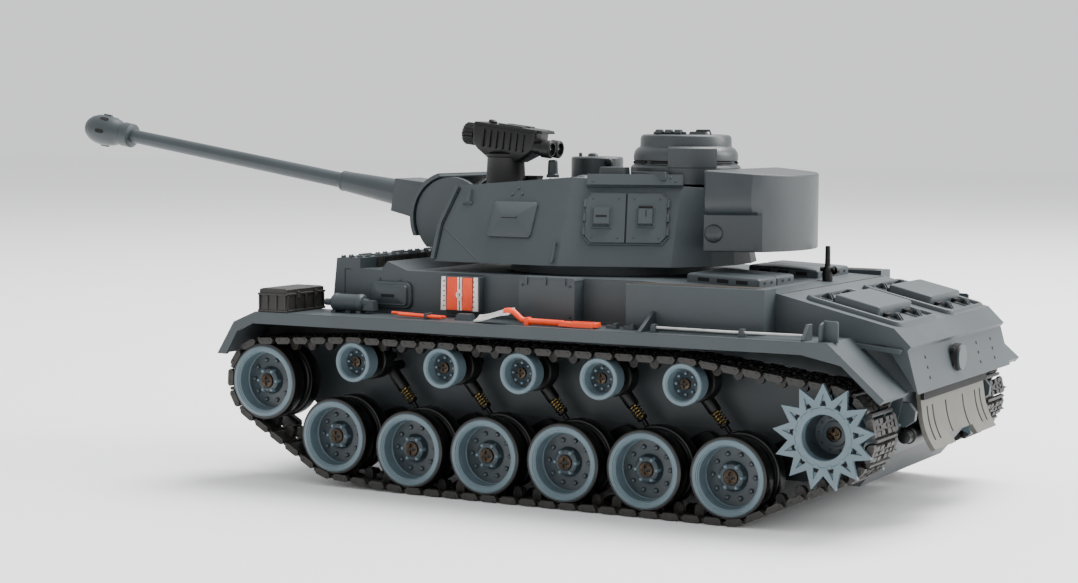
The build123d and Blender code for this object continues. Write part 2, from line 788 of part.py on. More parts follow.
def barrel():
    """Barrel tube with its thicker sleeve at the root."""
    with BuildPart() as tube:
        with BuildSketch(along(-12)):
            Circle(5.0)
        extrude(amount=44.0)
        with BuildSketch(along(32.0)):
            Circle(5.6)
        with BuildSketch(along(62.0)):
            Circle(4.2)
        loft()
        with BuildSketch(along(60.0)):
            Circle(3.3)
        with BuildSketch(along(178.0)):
            Circle(3.0)
        loft()
        with BuildSketch(along(174.5)):
            Circle(1.6)
        extrude(amount=4, mode=Mode.SUBTRACT)
    return tube.part


def muzzle_brake():
    """Round-nosed brake pushed over the barrel's end, with two pairs of side ports."""
    root = 174.5
    with BuildPart() as brake:
        with BuildSketch(Plane(origin=gun_line.origin, x_dir=gun_dir, z_dir=(0, -1, 0))):
            with BuildLine():
                Polyline((root, 0), (root, 5.4), (root + 8, 5.4), (root + 10, 6.4), (root + 20, 7.0))
                ThreePointArc((root + 20, 7.0), (root + 26.6, 4.4), (root + 28.3, 0))
                Line((root + 28.3, 0), (root, 0))
            make_face()
        revolve(axis=Axis(gun_line.origin, gun_dir))
        with BuildSketch(along(root)):
            Circle(3.06)
        extrude(amount=3.5, mode=Mode.SUBTRACT)
        with BuildSketch(along(root)):
            Circle(1.7)
        extrude(amount=30, mode=Mode.SUBTRACT)
    return brake.part


save(mantlet(), "mantlet")
save(barrel(), "gun_barrel")
save(muzzle_brake(), "muzzle_brake")
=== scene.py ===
# %% [markdown]
# # A radio-controlled tank, finished in Blender
# The CAD model gives every piece its place and size. This notebook gives each
# visible piece its fine detail and its finish. Lengths are in millimetres from
# the rear road wheel's axle: x forward along the gun, y to the left, z up.

# %% Load the frame
import json
import bmesh
import bpy
import mathutils
import numpy as np
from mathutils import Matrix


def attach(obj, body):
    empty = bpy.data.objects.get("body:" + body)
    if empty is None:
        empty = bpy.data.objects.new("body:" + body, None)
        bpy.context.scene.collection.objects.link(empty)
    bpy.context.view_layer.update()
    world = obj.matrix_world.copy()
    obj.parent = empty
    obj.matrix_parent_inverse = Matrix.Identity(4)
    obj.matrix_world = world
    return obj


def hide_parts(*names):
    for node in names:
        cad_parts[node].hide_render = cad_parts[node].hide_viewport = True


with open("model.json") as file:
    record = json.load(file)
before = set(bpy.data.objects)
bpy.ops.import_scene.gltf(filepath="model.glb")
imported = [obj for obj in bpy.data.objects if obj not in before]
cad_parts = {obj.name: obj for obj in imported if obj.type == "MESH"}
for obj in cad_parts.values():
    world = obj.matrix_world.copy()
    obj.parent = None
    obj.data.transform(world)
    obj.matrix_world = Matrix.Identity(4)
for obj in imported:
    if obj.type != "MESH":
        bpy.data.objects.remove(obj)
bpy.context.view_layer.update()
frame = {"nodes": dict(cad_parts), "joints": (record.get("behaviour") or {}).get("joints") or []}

place_of = {j["name"]: np.array(j["pos_m"]) for j in frame["joints"]}
rear_axle = place_of["wheel_6_left_spin"]
datum = np.array([rear_axle[0], 0, rear_axle[2]])
centre = {name: (spot - datum) * 1000 for name, spot in place_of.items()}
scene = bpy.context.scene
SIDES = ((1, "left"), (-1, "right"))
print(len(frame["nodes"]), "CAD nodes, datum at", datum.round(4))

# %% [markdown]
# ## Finishes
# Nearly everything is moulded ABS in a few greys. A real moulding is never one
# flat colour: the pigment varies softly, the tool leaves a fine spark grain, and
# the gloss changes a little from place to place. Noise on Object coordinates
# gives all three, each at its own size in millimetres.

# %% Nodes and colours
def linear(code):
    """Linear colour of an sRGB hex code: ((c + 0.055) / 1.055) ** 2.4 for each channel."""
    part = np.array([int(code[k:k + 2], 16) for k in (1, 3, 5)]) / 255
    curve = np.where(part <= 0.04045, part / 12.92, ((part + 0.055) / 1.055) ** 2.4)
    return (*curve.tolist(), 1)


def add_node(material, kind, inputs=None, **settings):
    """Add one ShaderNode of a kind, set its settings, and set or link each of its inputs."""
    tree = material.node_tree
    node = tree.nodes.new("ShaderNode" + kind)
    for name, value in settings.items():
        setattr(node, name, value)
    for key, value in (inputs or {}).items():
        if isinstance(value, bpy.types.NodeSocket):
            tree.links.new(value, node.inputs[key])
        else:
            node.inputs[key].default_value = value
    return node


def blank_material(name):
    """New material with an empty node tree."""
    material = bpy.data.materials.new(name)
    material.use_nodes = True
    material.node_tree.nodes.clear()
    return material


def finish_of(name, dark, light, rough, patch_mm=30.0, grain_mm=0.9, depth_mm=0.03, grime=None,
              rough_spread=0.06, **shader):
    """Mottled, grained surface: noise patches mix two colours, finer noise gives bump and gloss."""
    material = blank_material(name)
    where = add_node(material, "TexCoord").outputs["Object"]
    patches = add_node(material, "TexNoise", {"Vector": where, "Scale": 1000 / patch_mm,
                                                         "Detail": 4.0, "Roughness": 0.55})
    spread = add_node(material, "MapRange", {"Value": patches.outputs["Fac"],
                                                        "From Min": 0.35, "From Max": 0.65})
    colour = add_node(material, "Mix", {0: spread.outputs["Result"], 6: linear(dark),
                                                   7: linear(light)}, data_type="RGBA").outputs[2]
    if grime:
        blots = add_node(material, "TexNoise", {"Vector": where, "Scale": 1000 / 5,
                                                           "Detail": 6.0, "Roughness": 0.7})
        share = add_node(material, "MapRange", {"Value": blots.outputs["Fac"],
                                                           "From Min": 0.5, "From Max": 0.72,
                                                           "To Max": 0.55})
        colour = add_node(material, "Mix", {0: share.outputs["Result"], 6: colour,
            7: linear(grime)}, data_type="RGBA").outputs[2]
    grain = add_node(material, "TexNoise", {"Vector": where, "Scale": 1000 / grain_mm,
                                                       "Detail": 2.0, "Roughness": 0.6})
    bump = add_node(material, "Bump", {"Height": grain.outputs["Fac"], "Strength": 0.5,
                                                  "Distance": depth_mm / 1000})
    gloss = add_node(material, "MapRange", {"Value": patches.outputs["Fac"],
                                                       "From Min": 0.3, "From Max": 0.7,
                                                       "To Min": rough - rough_spread,
                                                       "To Max": rough + rough_spread})
    surface = add_node(material, "BsdfPrincipled", {"Base Color": colour,
                       "Roughness": gloss.outputs["Result"], "Normal": bump.outputs["Normal"],
                       **shader})
    add_node(material, "OutputMaterial", {"Surface": surface.outputs["BSDF"]})
    return material


# %% Name the finishes
# ABS: IOR 1.54. Spark-eroded tool grain about 0.5 mm, drawn at 0.9 mm so that it shows.
slate_abs = finish_of("slate_moulded_abs", "#2e3639", "#363e42", 0.5, IOR=1.54)
# The same plastic in the wheels' lighter blue-grey, smoother, from polished tool faces.
wheel_abs = finish_of("blue_grey_moulded_abs", "#52646c", "#5d6f77", 0.42, patch_mm=14.0,
                      depth_mm=0.012, IOR=1.54)
# The turret fittings are drawn in a darker slate. On the stowage bin this is painted shade, making
# its sides and back darker than the lamps leave them.
dark_slate = finish_of("dark_slate_moulded_abs", "#242b2e", "#2a3134", 0.42, patch_mm=14.0,
    IOR=1.54)
# Painted shade: cup floors, with their hubs and bolts, sit behind the rims and are drawn darker
# still, for the shade that falls in the cups.
cup_shade_abs = finish_of("blue_grey_abs_cup_floor_painted_shade", "#273136", "#303b41", 0.38, patch_mm=10.0, IOR=1.54)
# The chassis tub is the same unpainted ABS, drawn a little darker than the upper hull: painted
# shade for its sides, which sit in shade between the wheels.
tub_abs = finish_of("slate_abs_darkened_as_shade", "#282e31", "#30363a", 0.5, IOR=1.54)
# The deflector is the same family, a little warmer and grainier.
warm_abs = finish_of("warm_grey_moulded_abs", "#57564f", "#63625b", 0.6, patch_mm=9.0, IOR=1.54)
# Satin black nylon of sight, shocks and arms.
black_nylon = finish_of("black_moulded_nylon", "#060606", "#0d0d0d", 0.42, patch_mm=8.0, IOR=1.4)
# Tyres are a soft gloss-black vinyl with faint brown where they have rolled.
tyre_vinyl = finish_of("black_vinyl_tyre", "#070707", "#0d0c0b", 0.34, patch_mm=7.0,
                       depth_mm=0.01, IOR=1.5)
# Track links: dark brown-black nylon, dry-brushed with grey-brown dust on the outside.
track_nylon = finish_of("brown_black_nylon_links", "#0f0e0d", "#191816", 0.55, patch_mm=6.0,
                        grime="#544c42", IOR=1.53)
pad_nylon = finish_of("dusty_brown_nylon_pads", "#1c1b19", "#2a2825", 0.6, patch_mm=5.0,
                      grime="#2b2723", IOR=1.53)
# Zinc screws passivated to a dull bronze.
bronze_screw = finish_of("bronzed_steel_screw", "#3a322a", "#54483c", 0.38, patch_mm=2.0,
                         grain_mm=0.4, depth_mm=0.01, Metallic=1.0)
# Brassy spring wire.
brass_wire = finish_of("brassy_spring_wire", "#8a7440", "#b49a5c", 0.3, patch_mm=2.0,
                       grain_mm=0.4, depth_mm=0.005, Metallic=1.0)
# Bright rod and shovel blade: silver paint over plastic.
silver_paint = finish_of("silver_painted_plastic", "#b9bab8", "#d2d3d1", 0.38, patch_mm=6.0,
                         Metallic=0.35)
white_paint = finish_of("white_brushed_paint", "#dcd9d0", "#efece5", 0.5, patch_mm=4.0, IOR=1.5)
orange_paint = finish_of("orange_brushed_paint", "#f03c0c", "#ff531c", 0.45, patch_mm=8.0, IOR=1.5)
crate_paint = finish_of("dark_brown_crate_plastic", "#171512", "#211f1b", 0.5, patch_mm=6.0,
    IOR=1.5)
# The deep shade inside slots and grilles is the same black nylon, but dull.
slot_black = finish_of("dull_black_recess", "#050505", "#0a0a0a", 0.8, IOR=1.45)
print(len(bpy.data.materials), "materials made")


# %% [markdown]
# The strip on the side bin is a woven wire mesh. Two wave patterns crossed at
# right angles give the wires; the holes between them are near black, painted
# shade in the holes.

# %% Woven mesh finish
WIRE_PITCH = 1.4  # mm from wire to wire; a band wave repeats every 2 * pi / scale
mesh_brown = blank_material("brown_wire_mesh")
mesh_where = add_node(mesh_brown, "TexCoord").outputs["Object"]
wires = []
for direction in ("X", "Y"):
    wave = add_node(mesh_brown, "TexWave", {"Vector": mesh_where,
        "Scale": 1000 / WIRE_PITCH / 6.2832, "Distortion": 0.0}, wave_type="BANDS",
        bands_direction=direction)
    wires.append(wave.outputs["Fac"])
crossed = add_node(mesh_brown, "Math", {0: wires[0], 1: wires[1]}, operation="MULTIPLY")
mesh_colour = add_node(mesh_brown, "Mix", {0: crossed.outputs[0], 6: linear("#2c261e"),
                       7: linear("#0b0907")}, data_type="RGBA")
mesh_bump = add_node(mesh_brown, "Bump", {"Height": crossed.outputs[0], "Strength": 0.6,
                     "Distance": 0.0002}, invert=True)
mesh_shader = add_node(mesh_brown, "BsdfPrincipled", {"Base Color": mesh_colour.outputs[2],
                       "Normal": mesh_bump.outputs["Normal"], "Roughness": 0.6, "Metallic": 0.3})
add_node(mesh_brown, "OutputMaterial", {"Surface": mesh_shader.outputs["BSDF"]})

# %% [markdown]
# ## Shapes as arrays
# A shape here is a pair: an array of points and a list of face arrays, one for
# each number of corners. Whole shapes are joined, mirrored and set out by array
# arithmetic, and only the last step turns them into a Blender mesh.

# %% Grids, lofts and lathes
def grid(points, close_u=False, close_v=False):
    """Surface P(u, v) given as an array (nu, nv, 3): each cell becomes one quad."""
    number = np.arange(points.shape[0] * points.shape[1]).reshape(points.shape[:2])
    if close_u:
        number = np.vstack([number, number[:1]])
    if close_v:
        number = np.hstack([number, number[:, :1]])
    quads = np.stack([number[:-1, :-1], number[1:, :-1], number[1:, 1:], number[:-1, 1:]], -1)
    return points.reshape(-1, 3), [quads.reshape(-1, 4)]


def loft(rings):
    """Skin through closed rings of equally many points, closed flat at both ends."""
    rings = np.asarray(rings, float)
    count, around = rings.shape[:2]
    points, faces = grid(rings, close_v=True)
    ends = [np.arange(around)[None, ::-1], np.arange(around)[None] + (count - 1) * around]
    return points, faces + ends


def square_to(axis):
    """Two unit directions at right angles to an axis and to each other."""
    axis = np.asarray(axis, float)
    hint = np.array([0, 0, 1.0]) if abs(axis[2]) < 0.9 * np.linalg.norm(axis) else np.array([1.0,
        0.0, 0.0])
    first = np.cross(hint, axis)
    first /= np.linalg.norm(first)
    second = np.cross(axis, first)
    return first, second / np.linalg.norm(second)


def lathe(profile, middle=(0, 0, 0), axis=(0, 0, 1), steps=40, closed=False):
    """Turned shape: middle + along·axis + radius·(cos t, sin t), for each (radius, along)."""
    profile = np.asarray(profile, float)
    axis = np.asarray(axis, float) / np.linalg.norm(axis)
    first, second = square_to(axis)
    turn = np.linspace(0, 2 * np.pi, steps, endpoint=False)
    ring = np.cos(turn)[:, None] * first + np.sin(turn)[:, None] * second
    rings = (np.asarray(middle, float) + profile[:, 1, None, None] * axis
             + profile[:, 0, None, None] * ring[None])
    return grid(rings, close_u=True, close_v=True) if closed else loft(rings)


def tube(path, radius, steps=10):
    """Round bar along a path: at each point a circle square to the path's direction there."""
    path = np.asarray(path, float)
    ahead = np.gradient(path, axis=0)
    ahead /= np.linalg.norm(ahead, axis=1)[:, None]
    first, _ = square_to(ahead.mean(0))
    side = np.cross(ahead, first)
    side /= np.linalg.norm(side, axis=1)[:, None]
    up = np.cross(side, ahead)
    turn = np.linspace(0, 2 * np.pi, steps, endpoint=False)
    radius = np.broadcast_to(radius, len(path))[:, None, None]
    return loft(path[:, None] + radius * (np.cos(turn)[:, None] * up[:, None]
                                          + np.sin(turn)[:, None] * side[:, None]))


print("a tube of 8 sides has", len(tube([(0, 0, 0), (1, 0, 0)], 1, 8)[0]), "points")

# %% Flat outlines, blocks and copies
def joined(*shapes):
    """Several shapes as one: their points end to end, their face numbers moved up to match."""
    points, faces, count = [], [], 0
    for these, polygons in shapes:
        points.append(these)
        faces += [polygon + count for polygon in polygons]
        count += len(these)
    return np.concatenate(points), faces


def set_out(shape, origin=(0, 0, 0), ex=(1, 0, 0), ey=(0, 1, 0), ez=(0, 0, 1)):
    """Shape with (x, y, z) sent to origin + x·ex + y·ey + z·ez, for one place or many."""
    points, faces = shape
    origin, ex, ey, ez = (np.atleast_2d(np.asarray(a, float))[:, None]
        for a in (origin, ex, ey, ez))
    placed = origin + points[None, :, 0:1] * ex + points[None, :, 1:2] * ey + points[None, :,
        2:3] * ez
    step = len(points) * np.arange(len(placed))[:, None, None]
    return placed.reshape(-1, 3), [(f[None] + step).reshape(-1, f.shape[1]) for f in faces]


def mirrored(shape):
    """The same shape on the other side: y becomes -y."""
    return shape[0] * np.array([1, -1, 1]), shape[1]


def both(shape):
    """A shape and its mirror image as one."""
    return joined(shape, mirrored(shape))


def prism(outline, low, high, top_inset=0.0):
    """Flat outline (x, y) carried straight from z = low to z = high; the top may be drawn in."""
    outline = np.asarray(outline, float)
    middle = (outline.max(0) + outline.min(0)) / 2
    half = (outline.max(0) - outline.min(0)) / 2
    top = middle + (outline - middle) * (1 - top_inset / half)
    return loft([np.column_stack([flat, np.full(len(outline), z)])
                 for flat, z in ((outline, low), (top, high))])


def side_cut(outline, y0, y1):
    """Outline (x, z) seen from the side, carried across from y0 to y1."""
    return set_out(prism(outline, y0, y1), ey=(0, 0, 1), ez=(0, 1, 0))


def block(x0, x1, y0, y1, z0, z1, top_inset=0.0):
    """Box between two values of x, y and z; the top may be drawn in."""
    return prism([(x0, y0), (x1, y0), (x1, y1), (x0, y1)], z0, z1, top_inset)


def rounded(width, height, corner, steps=5):
    """Rectangle with round corners about the origin, as an outline."""
    turn = np.linspace(0, np.pi / 2, steps)
    corners = []
    for k, (sx, sy) in enumerate(((1, 1), (-1, 1), (-1, -1), (1, -1))):
        arc = turn + k * np.pi / 2
        corners.append(np.column_stack([sx * (width / 2 - corner) + corner * np.cos(arc),
                                        sy * (height / 2 - corner) + corner * np.sin(arc)]))
    return np.concatenate(corners)


def stacked(sections, steps=5):
    """Skin through rounded rectangles, each given as (width, height, corner, z)."""
    return loft([np.column_stack([rounded(w, h, r, steps), np.full(4 * steps, z)])
                 for w, h, r, z in sections])


def stud(radius, height, steps=10):
    """Low round-topped rivet standing on z = 0."""
    return lathe([(radius, -0.3), (radius, 0.35 * height), (0.8 * radius, 0.8 * height),
                  (0.4 * radius, height)], steps=steps)


print("a rivet has", len(stud(1, 1)[0]), "points")

# %% Make an object
def linked(name, data):
    """New object of this name and data, linked to the scene."""
    thing = bpy.data.objects.new(name, data)
    scene.collection.objects.link(thing)
    return thing


def make(name, body, *parts, bevel=0.0, corner=30.0, slot="hull_grey",
         stands_for=(), weld=False):
    """One object from (shape, material) pairs, riding on a body of the model."""
    points, faces = joined(*[shape for shape, _ in parts])
    mesh = bpy.data.meshes.new(name)
    mesh.from_pydata((points / 1000 + datum).tolist(), [], [f for a in faces for f in a.tolist()])
    counts = [sum(len(a) for a in shape[1]) for shape, _ in parts]
    used = list(dict.fromkeys(material for _, material in parts))
    for material in used:
        mesh.materials.append(material)
    order = np.repeat([used.index(material) for _, material in parts], counts)
    mesh.polygons.foreach_set("material_index", order.astype(np.int32))
    mesh.polygons.foreach_set("use_smooth", np.ones(len(mesh.polygons), bool))
    work = bmesh.new()
    work.from_mesh(mesh)
    if weld:
        bmesh.ops.remove_doubles(work, verts=work.verts, dist=1e-6)
    bmesh.ops.recalc_face_normals(work, faces=work.faces)
    work.to_mesh(mesh)
    work.free()
    mesh.set_sharp_from_angle(angle=np.radians(corner))
    thing = linked(name, mesh)
    if bevel:
        edge = thing.modifiers.new("edge", "BEVEL")
        edge.width = bevel / 1000
        edge.segments = 2
        edge.limit_method = "ANGLE"
        edge.angle_limit = np.radians(corner)
        edge.harden_normals = True
    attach(thing, body)
    if stands_for:
        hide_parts(*stands_for)
    print(name, len(mesh.polygons), "faces")
    return thing


# %% [markdown]
# ## Running gear
# Each road wheel is a pair of dished discs on one hub, with a vinyl tyre on each.
# A wheel is a turned part, so its section is drawn once as radius against depth
# behind the face and turned round the axle. Bolts are small studs set out on a
# circle.

# %% Wheel sections
face_y = 76.35
tyre_tread = 14.95


def on_circle(count, radius, z=0.0, start=0.0):
    """Places (x, y, z) evenly spaced on a circle."""
    turn = np.arange(count) / count * 2 * np.pi + start
    return np.column_stack([radius * np.cos(turn), radius * np.sin(turn), np.full(count, z)])


def facing_out(shape, x, z, side, y=face_y):
    """Shape drawn with z = 0 at a wheel's face and z rising out of it, put on its axle."""
    return set_out(shape, (x, side * y, z), ex=(1, 0, 0), ey=(0, 0, 1), ez=(0, side, 0))


def tyre_ring(rim, tread, low, high):
    """Ring between the rim and the tread, with rounded shoulders."""
    return lathe([(rim - 0.1, low), (rim + 0.4, low - 0.05), (tread - 0.25, low + 0.2),
        (tread, low + 0.7), (tread, high - 0.7), (tread - 0.25, high - 0.2),
        (rim + 0.4, high + 0.05), (rim - 0.1, high)], steps=64, closed=True)


def dished_disc(rim, lip, cup, floor, back):
    """Front disc: rounded lip and stepped cup wall."""
    return lathe([(3, -back), (rim - 0.6, -back), (rim, -back + 0.5), (rim, -0.5),
        (rim - 0.2, -0.15), (rim - 0.5, 0), (lip, 0), (lip - 0.15, -0.3), (lip - 0.55, -0.35),
        (lip - 0.7, -0.7), (cup + 0.15, -1), (cup, -floor + 0.4), (cup - 0.35, -floor),
        (cup - 0.35, -floor - 0.7), (3, -floor - 0.7)], steps=72, closed=True)


def cup_floor(cup, hub, floor, hub_top):
    """Floor of the cup and its raised hub with a screw seat."""
    return lathe([(cup - 0.2, -floor - 0.6), (cup - 0.2, -floor), (hub + 1.3, -floor),
        (hub + 0.5, -floor + 0.25), (hub + 0.1, -floor + 1), (hub - 0.4, -hub_top - 0.9),
        (hub - 0.9, -hub_top - 0.5), (hub * 0.62, -hub_top - 0.3), (hub * 0.56, -hub_top - 0.5),
        (hub * 0.56, -hub_top - 1.6), (hub * 0.3, -hub_top - 1.6), (hub * 0.3, -floor - 0.6)],
        steps=72, closed=True)


def cross_screw(radius):
    """Screw head: a low dome with a cross cut into it, drawn as four raised quarters."""
    turn = np.linspace(0, 2 * np.pi, 49)[:-1]
    reach = np.array([0, 0.25, 0.55, 0.8, 1])
    x = radius * reach[:, None] * np.cos(turn)
    y = radius * reach[:, None] * np.sin(turn)
    in_slot = (np.minimum(abs(x), abs(y)) < 0.13 * radius) & (np.hypot(x, y) < 0.62 * radius)
    height = 0.55 * (1 - 0.8 * reach[:, None] ** 2) - 0.75 * in_slot
    cap = np.stack([x, y, height], -1)
    skirt = cap[-1:] * np.array([1, 1, 0]) + np.array([0, 0, -0.8])
    return loft(np.concatenate([cap[1:], skirt]))


road_disc = dished_disc(13.8, 12.3, 11.1, 6.4, 7.35)
road_floor = cup_floor(11.1, 5, 6.4, 2.68)
road_bolts = set_out(lathe([(0.95, 0), (0.9, 0.5), (0.6, 0.85), (0.2, 0.95)], steps=12),
    on_circle(10, 8.2, -6.4))
hub_nubs = set_out(lathe([(0.95, -2.6), (0.8, -0.5), (0.5, 0), (0.15, 0.1)], steps=10),
    on_circle(6, 4.2, -2.6))
rear_disc = lathe([(3, -18.9), (13.2, -18.9), (13.8, -18.4), (13.8, -12.1), (13.3, -11.65),
    (4.4, -11.65), (4.4, -7.3), (3, -7.3)], steps=48)
road_tyres = joined(tyre_ring(13.8, tyre_tread, -6.9, -0.55),
    tyre_ring(13.8, tyre_tread, -18.4, -12.1))
screw = set_out(cross_screw(2.55), (0, 0, -2.62))
print("wheel section", len(road_disc[0]), "points")

# %% Road wheels, idlers and their screws
for side, word in SIDES:
    for number in range(1, 7):
        x, _, z = centre[f"wheel_{number}_{word}_spin"]
        put = lambda shape: facing_out(shape, x, z, side)
        make(f"road_wheel_{number}_{word}_detail", f"wheel_{number}_{word}",
            (put(joined(road_disc, hub_nubs)), wheel_abs),
            (put(joined(road_floor, road_bolts)), cup_shade_abs), (put(rear_disc), black_nylon),
            (put(road_tyres), tyre_vinyl), slot="wheel_blue",
            stands_for=[f"road_wheel_{number}_{word}"])
        make(f"axle_screw_{number}_{word}", f"arm_{number}_{word}", (put(screw), bronze_screw),
             slot="screw_steel")
    x, _, z = centre[f"idler_{word}_spin"]
    grow = 13.99 / 13.8
    idler_disc = (road_disc[0] * [grow, grow, 1], road_disc[1])
    idler_tyres = joined(tyre_ring(13.99, 15.2, -6.9, -0.55), tyre_ring(13.8, 15.2, -18.4, -12.1))
    make(f"idler_{word}_detail", f"idler_{word}",
         (put(joined(idler_disc, hub_nubs)), wheel_abs),
         (put(joined(road_floor, road_bolts)), cup_shade_abs), (put(rear_disc), black_nylon),
         (put(idler_tyres), tyre_vinyl), slot="wheel_blue", stands_for=[f"idler_wheel_{word}"])

# %% [markdown]
# Return rollers have no tyre: a blue-grey bowl in front, black behind, eight nubs
# round a small screw.

# %% Return rollers
roller_bowl = lathe([(2, -7.35), (7, -7.35), (7.3, -7), (7.3, -2.2), (7.65, -1.6), (7.65, -0.35),
    (7.4, 0), (6.3, 0), (6.1, -0.3), (5.8, -0.6), (5.5, -4), (5.3, -4.6), (5.3, -5.4), (2, -5.4)],
    steps=56, closed=True)
roller_floor = lathe([(5.4, -5.3), (5.4, -4.6), (4.4, -4.6), (3.5, -4.2), (2.6, -3.6), (2.2, -3.2),
    (2.1, -4), (1.2, -4), (1.2, -5.3)], steps=40, closed=True)
roller_nubs = set_out(lathe([(0.6, -1.6), (0.5, 0), (0.2, 0.2)], steps=8), on_circle(8, 3.8, -3.2))
roller_back = lathe([(2, -18.9), (7.2, -18.9), (7.65, -18.4), (7.65, -12.1), (7.2, -11.65),
    (4, -11.65), (4, -7.3), (2, -7.3)], steps=40)
small_screw = set_out(cross_screw(1.9), (0, 0, -2.62))
for side, word in SIDES:
    heads = []
    for number in range(1, 6):
        x, _, z = centre[f"roller_{number}_{word}_spin"]
        make(f"roller_{number}_{word}_detail", f"roller_{number}_{word}",
             (facing_out(joined(roller_bowl, roller_nubs), x, z, side), wheel_abs),
             (facing_out(roller_floor, x, z, side), cup_shade_abs),
             (facing_out(roller_back, x, z, side), black_nylon), slot="wheel_blue",
             stands_for=[f"return_roller_{number}_{word}"])
        heads.append(facing_out(small_screw, x, z, side))
    x, _, z = centre[f"idler_{word}_spin"]
    make(f"fixed_axle_screws_{word}", "hull", (joined(*heads, facing_out(screw, x, z, side)),
        bronze_screw), slot="screw_steel")

# %% [markdown]
# The drive sprocket is a thirteen-pointed star. Each point is a folded V: two
# raised legs with a sunk pocket between them and, at its root, a window drawn
# as a dull black patch of painted shade.
# One point is worked out as a short list of corners, and the array is turned
# thirteen times.

# %% Drive sprocket
TEETH = 13
FIRST_TOOTH = np.radians(89)


def star_ring(front, back, tip=18.7, valley=13.1, ring=10.45):
    """Star plate between two depths, pocketed in front: one tooth repeated round the axle."""
    half = np.pi / TEETH
    polar = np.array([  # radius, turn in half teeth, depth behind the front
        (ring, -1, 0), (ring, -0.52, 0), (ring, 0.52, 0), (ring, 1, 0),
        (valley, -1, 0), (tip, 0, 0), (valley, 1, 0),
        (ring + 0.6, -0.46, 0), (tip - 3.4, 0, 0), (ring + 0.6, 0.46, 0),
        (ring + 0.6, -0.38, 1.25), (tip - 4.3, 0, 0.4), (ring + 0.6, 0.38, 1.25),
        (ring, -1, front - back), (ring, 1, front - back), (valley, -1, front - back),
        (tip, 0, front - back), (valley, 1, front - back)])
    quads = np.array([(0, 1, 7, 4), (4, 7, 8, 5), (5, 8, 9, 6), (6, 9, 2, 3), (7, 10, 11, 8),
                      (8, 11, 12, 9), (9, 12, 10, 7), (4, 5, 16, 15), (5, 6, 17, 16)])
    turn = FIRST_TOOTH + (np.arange(TEETH) * 2 * half)[:, None] + polar[None, :, 1] * half
    points = np.stack([polar[:, 0] * np.cos(turn), polar[:, 0] * np.sin(turn),
                       np.broadcast_to(front - polar[:, 2], turn.shape)], -1)
    thirds = np.array([(10, 12, 11), (1, 2, 9), (1, 9, 7), (13, 15, 16), (13, 16, 14), (14, 16, 17),
        (0, 13, 1), (1, 13, 2), (2, 13, 14), (2, 14, 3)])
    step = np.arange(TEETH)[:, None, None] * len(polar)
    return points.reshape(-1, 3), [(f[None] + step).reshape(-1, f.shape[1])
        for f in (quads, thirds)]


star_front, star_back = 77.85 - face_y, 77.85 - face_y - 1.5
sprocket_drum = lathe([(2.5, -26), (10.45, -26), (10.45, -12.9), (8.9, -12.9), (8.9, -5.9),
    (10.45, -5.9), (10.45, star_front - 0.2), (10.25, star_front), (8.2, star_front),
    (7.95, star_front - 0.25), (7.85, star_front - 3.5), (8.3, star_front - 3.5),
    (8.3, star_front - 12.2), (2.5, star_front - 12.2)], steps=64, closed=True)
sprocket_cup = lathe([(8.2, star_front - 12.1), (8.2, star_front - 3.6), (7.87, star_front - 3.4),
    (7.6, star_front - 11), (7.2, star_front - 11.6), (4.6, star_front - 11.6),
    (4.4, star_front - 10.9), (2.9, star_front - 10.7), (2.8, star_front - 11.5),
    (1, star_front - 11.5), (1, star_front - 12.1)], steps=64, closed=True)
cup_bolts = set_out(stud(0.5, 0.6, 8), on_circle(10, 5.9, star_front - 11.6))
rim_lugs = set_out(block(-0.9, 0.9, -0.8, 0.8, -1.4, 0.35, 0.2),
                   on_circle(TEETH, 10.3, star_front - 0.2, FIRST_TOOTH))
# Each window is a dull black triangle: painted shade where the opening is.
window_shade = set_out(prism([(-1.35, -0.95), (1.35, -0.95), (0, 2.2)], -0.5, 0.05),
                  on_circle(TEETH, 12.3, star_front - 0.9, FIRST_TOOTH),
                  ex=on_circle(TEETH, 1, start=FIRST_TOOTH + np.pi / 2),
                  ey=on_circle(TEETH, 1, start=FIRST_TOOTH))
for side, word in SIDES:
    x, _, z = centre[f"drive_{word}_spin"]
    put = lambda shape: facing_out(shape, x, z, side)
    inner = star_ring(-24.6, -26.1)
    make(f"sprocket_{word}_detail", f"drive_{word}",
         (put(joined(star_ring(star_front, star_back), inner, sprocket_drum, rim_lugs)), wheel_abs),
         (put(joined(cup_bolts, sprocket_cup)), cup_shade_abs), (put(window_shade), slot_black),
         (put(set_out(cross_screw(2.4), (0, 0, star_front - 10.4))), bronze_screw),
         slot="wheel_blue", stands_for=[f"drive_sprocket_{word}"], corner=25, weld=True)

# %% [markdown]
# ## Tracks
# A track is one link set out about eighty-odd times along a closed line. The
# line runs as a taut belt does: straight between wheels, and along an arc round
# each. Straight runs touch two circles, which gives their ends by trigonometry.
# The line is then stepped off by length, and every link takes its place and its
# slope from it.

# %% The belt line
def belt_line(circles, samples=24):
    """Points of the belt round circles (x, z, r), in anticlockwise order, and length so far."""
    circles = np.asarray(circles, float)
    ahead = np.roll(circles, -1, axis=0)
    gap = ahead[:, :2] - circles[:, :2]
    span = np.hypot(*gap.T)
    normal = np.arctan2(gap[:, 1], gap[:, 0]) - np.pi / 2 + (circles[:, 2] - ahead[:, 2]) / span
    arrive = np.roll(normal, 1)
    sweep = (normal - arrive) % (2 * np.pi)
    sweep = np.where(sweep > 6, sweep - 2 * np.pi, sweep)
    turn = arrive[:, None] + sweep[:, None] * np.linspace(0, 1, samples)
    arcs = circles[:, None, :2] + circles[:, 2, None, None] * np.stack([np.cos(turn), np.sin(turn)],
        -1)
    line = arcs.reshape(-1, 2)
    line = np.vstack([line, line[:1]])
    so_far = np.concatenate([[0], np.cumsum(np.hypot(*np.diff(line, axis=0).T))])
    return line, so_far


def spot(name, radius):
    """Circle (x, z, radius) about the axle of a joint."""
    x, _, z = centre[name]
    return (x, z, radius)


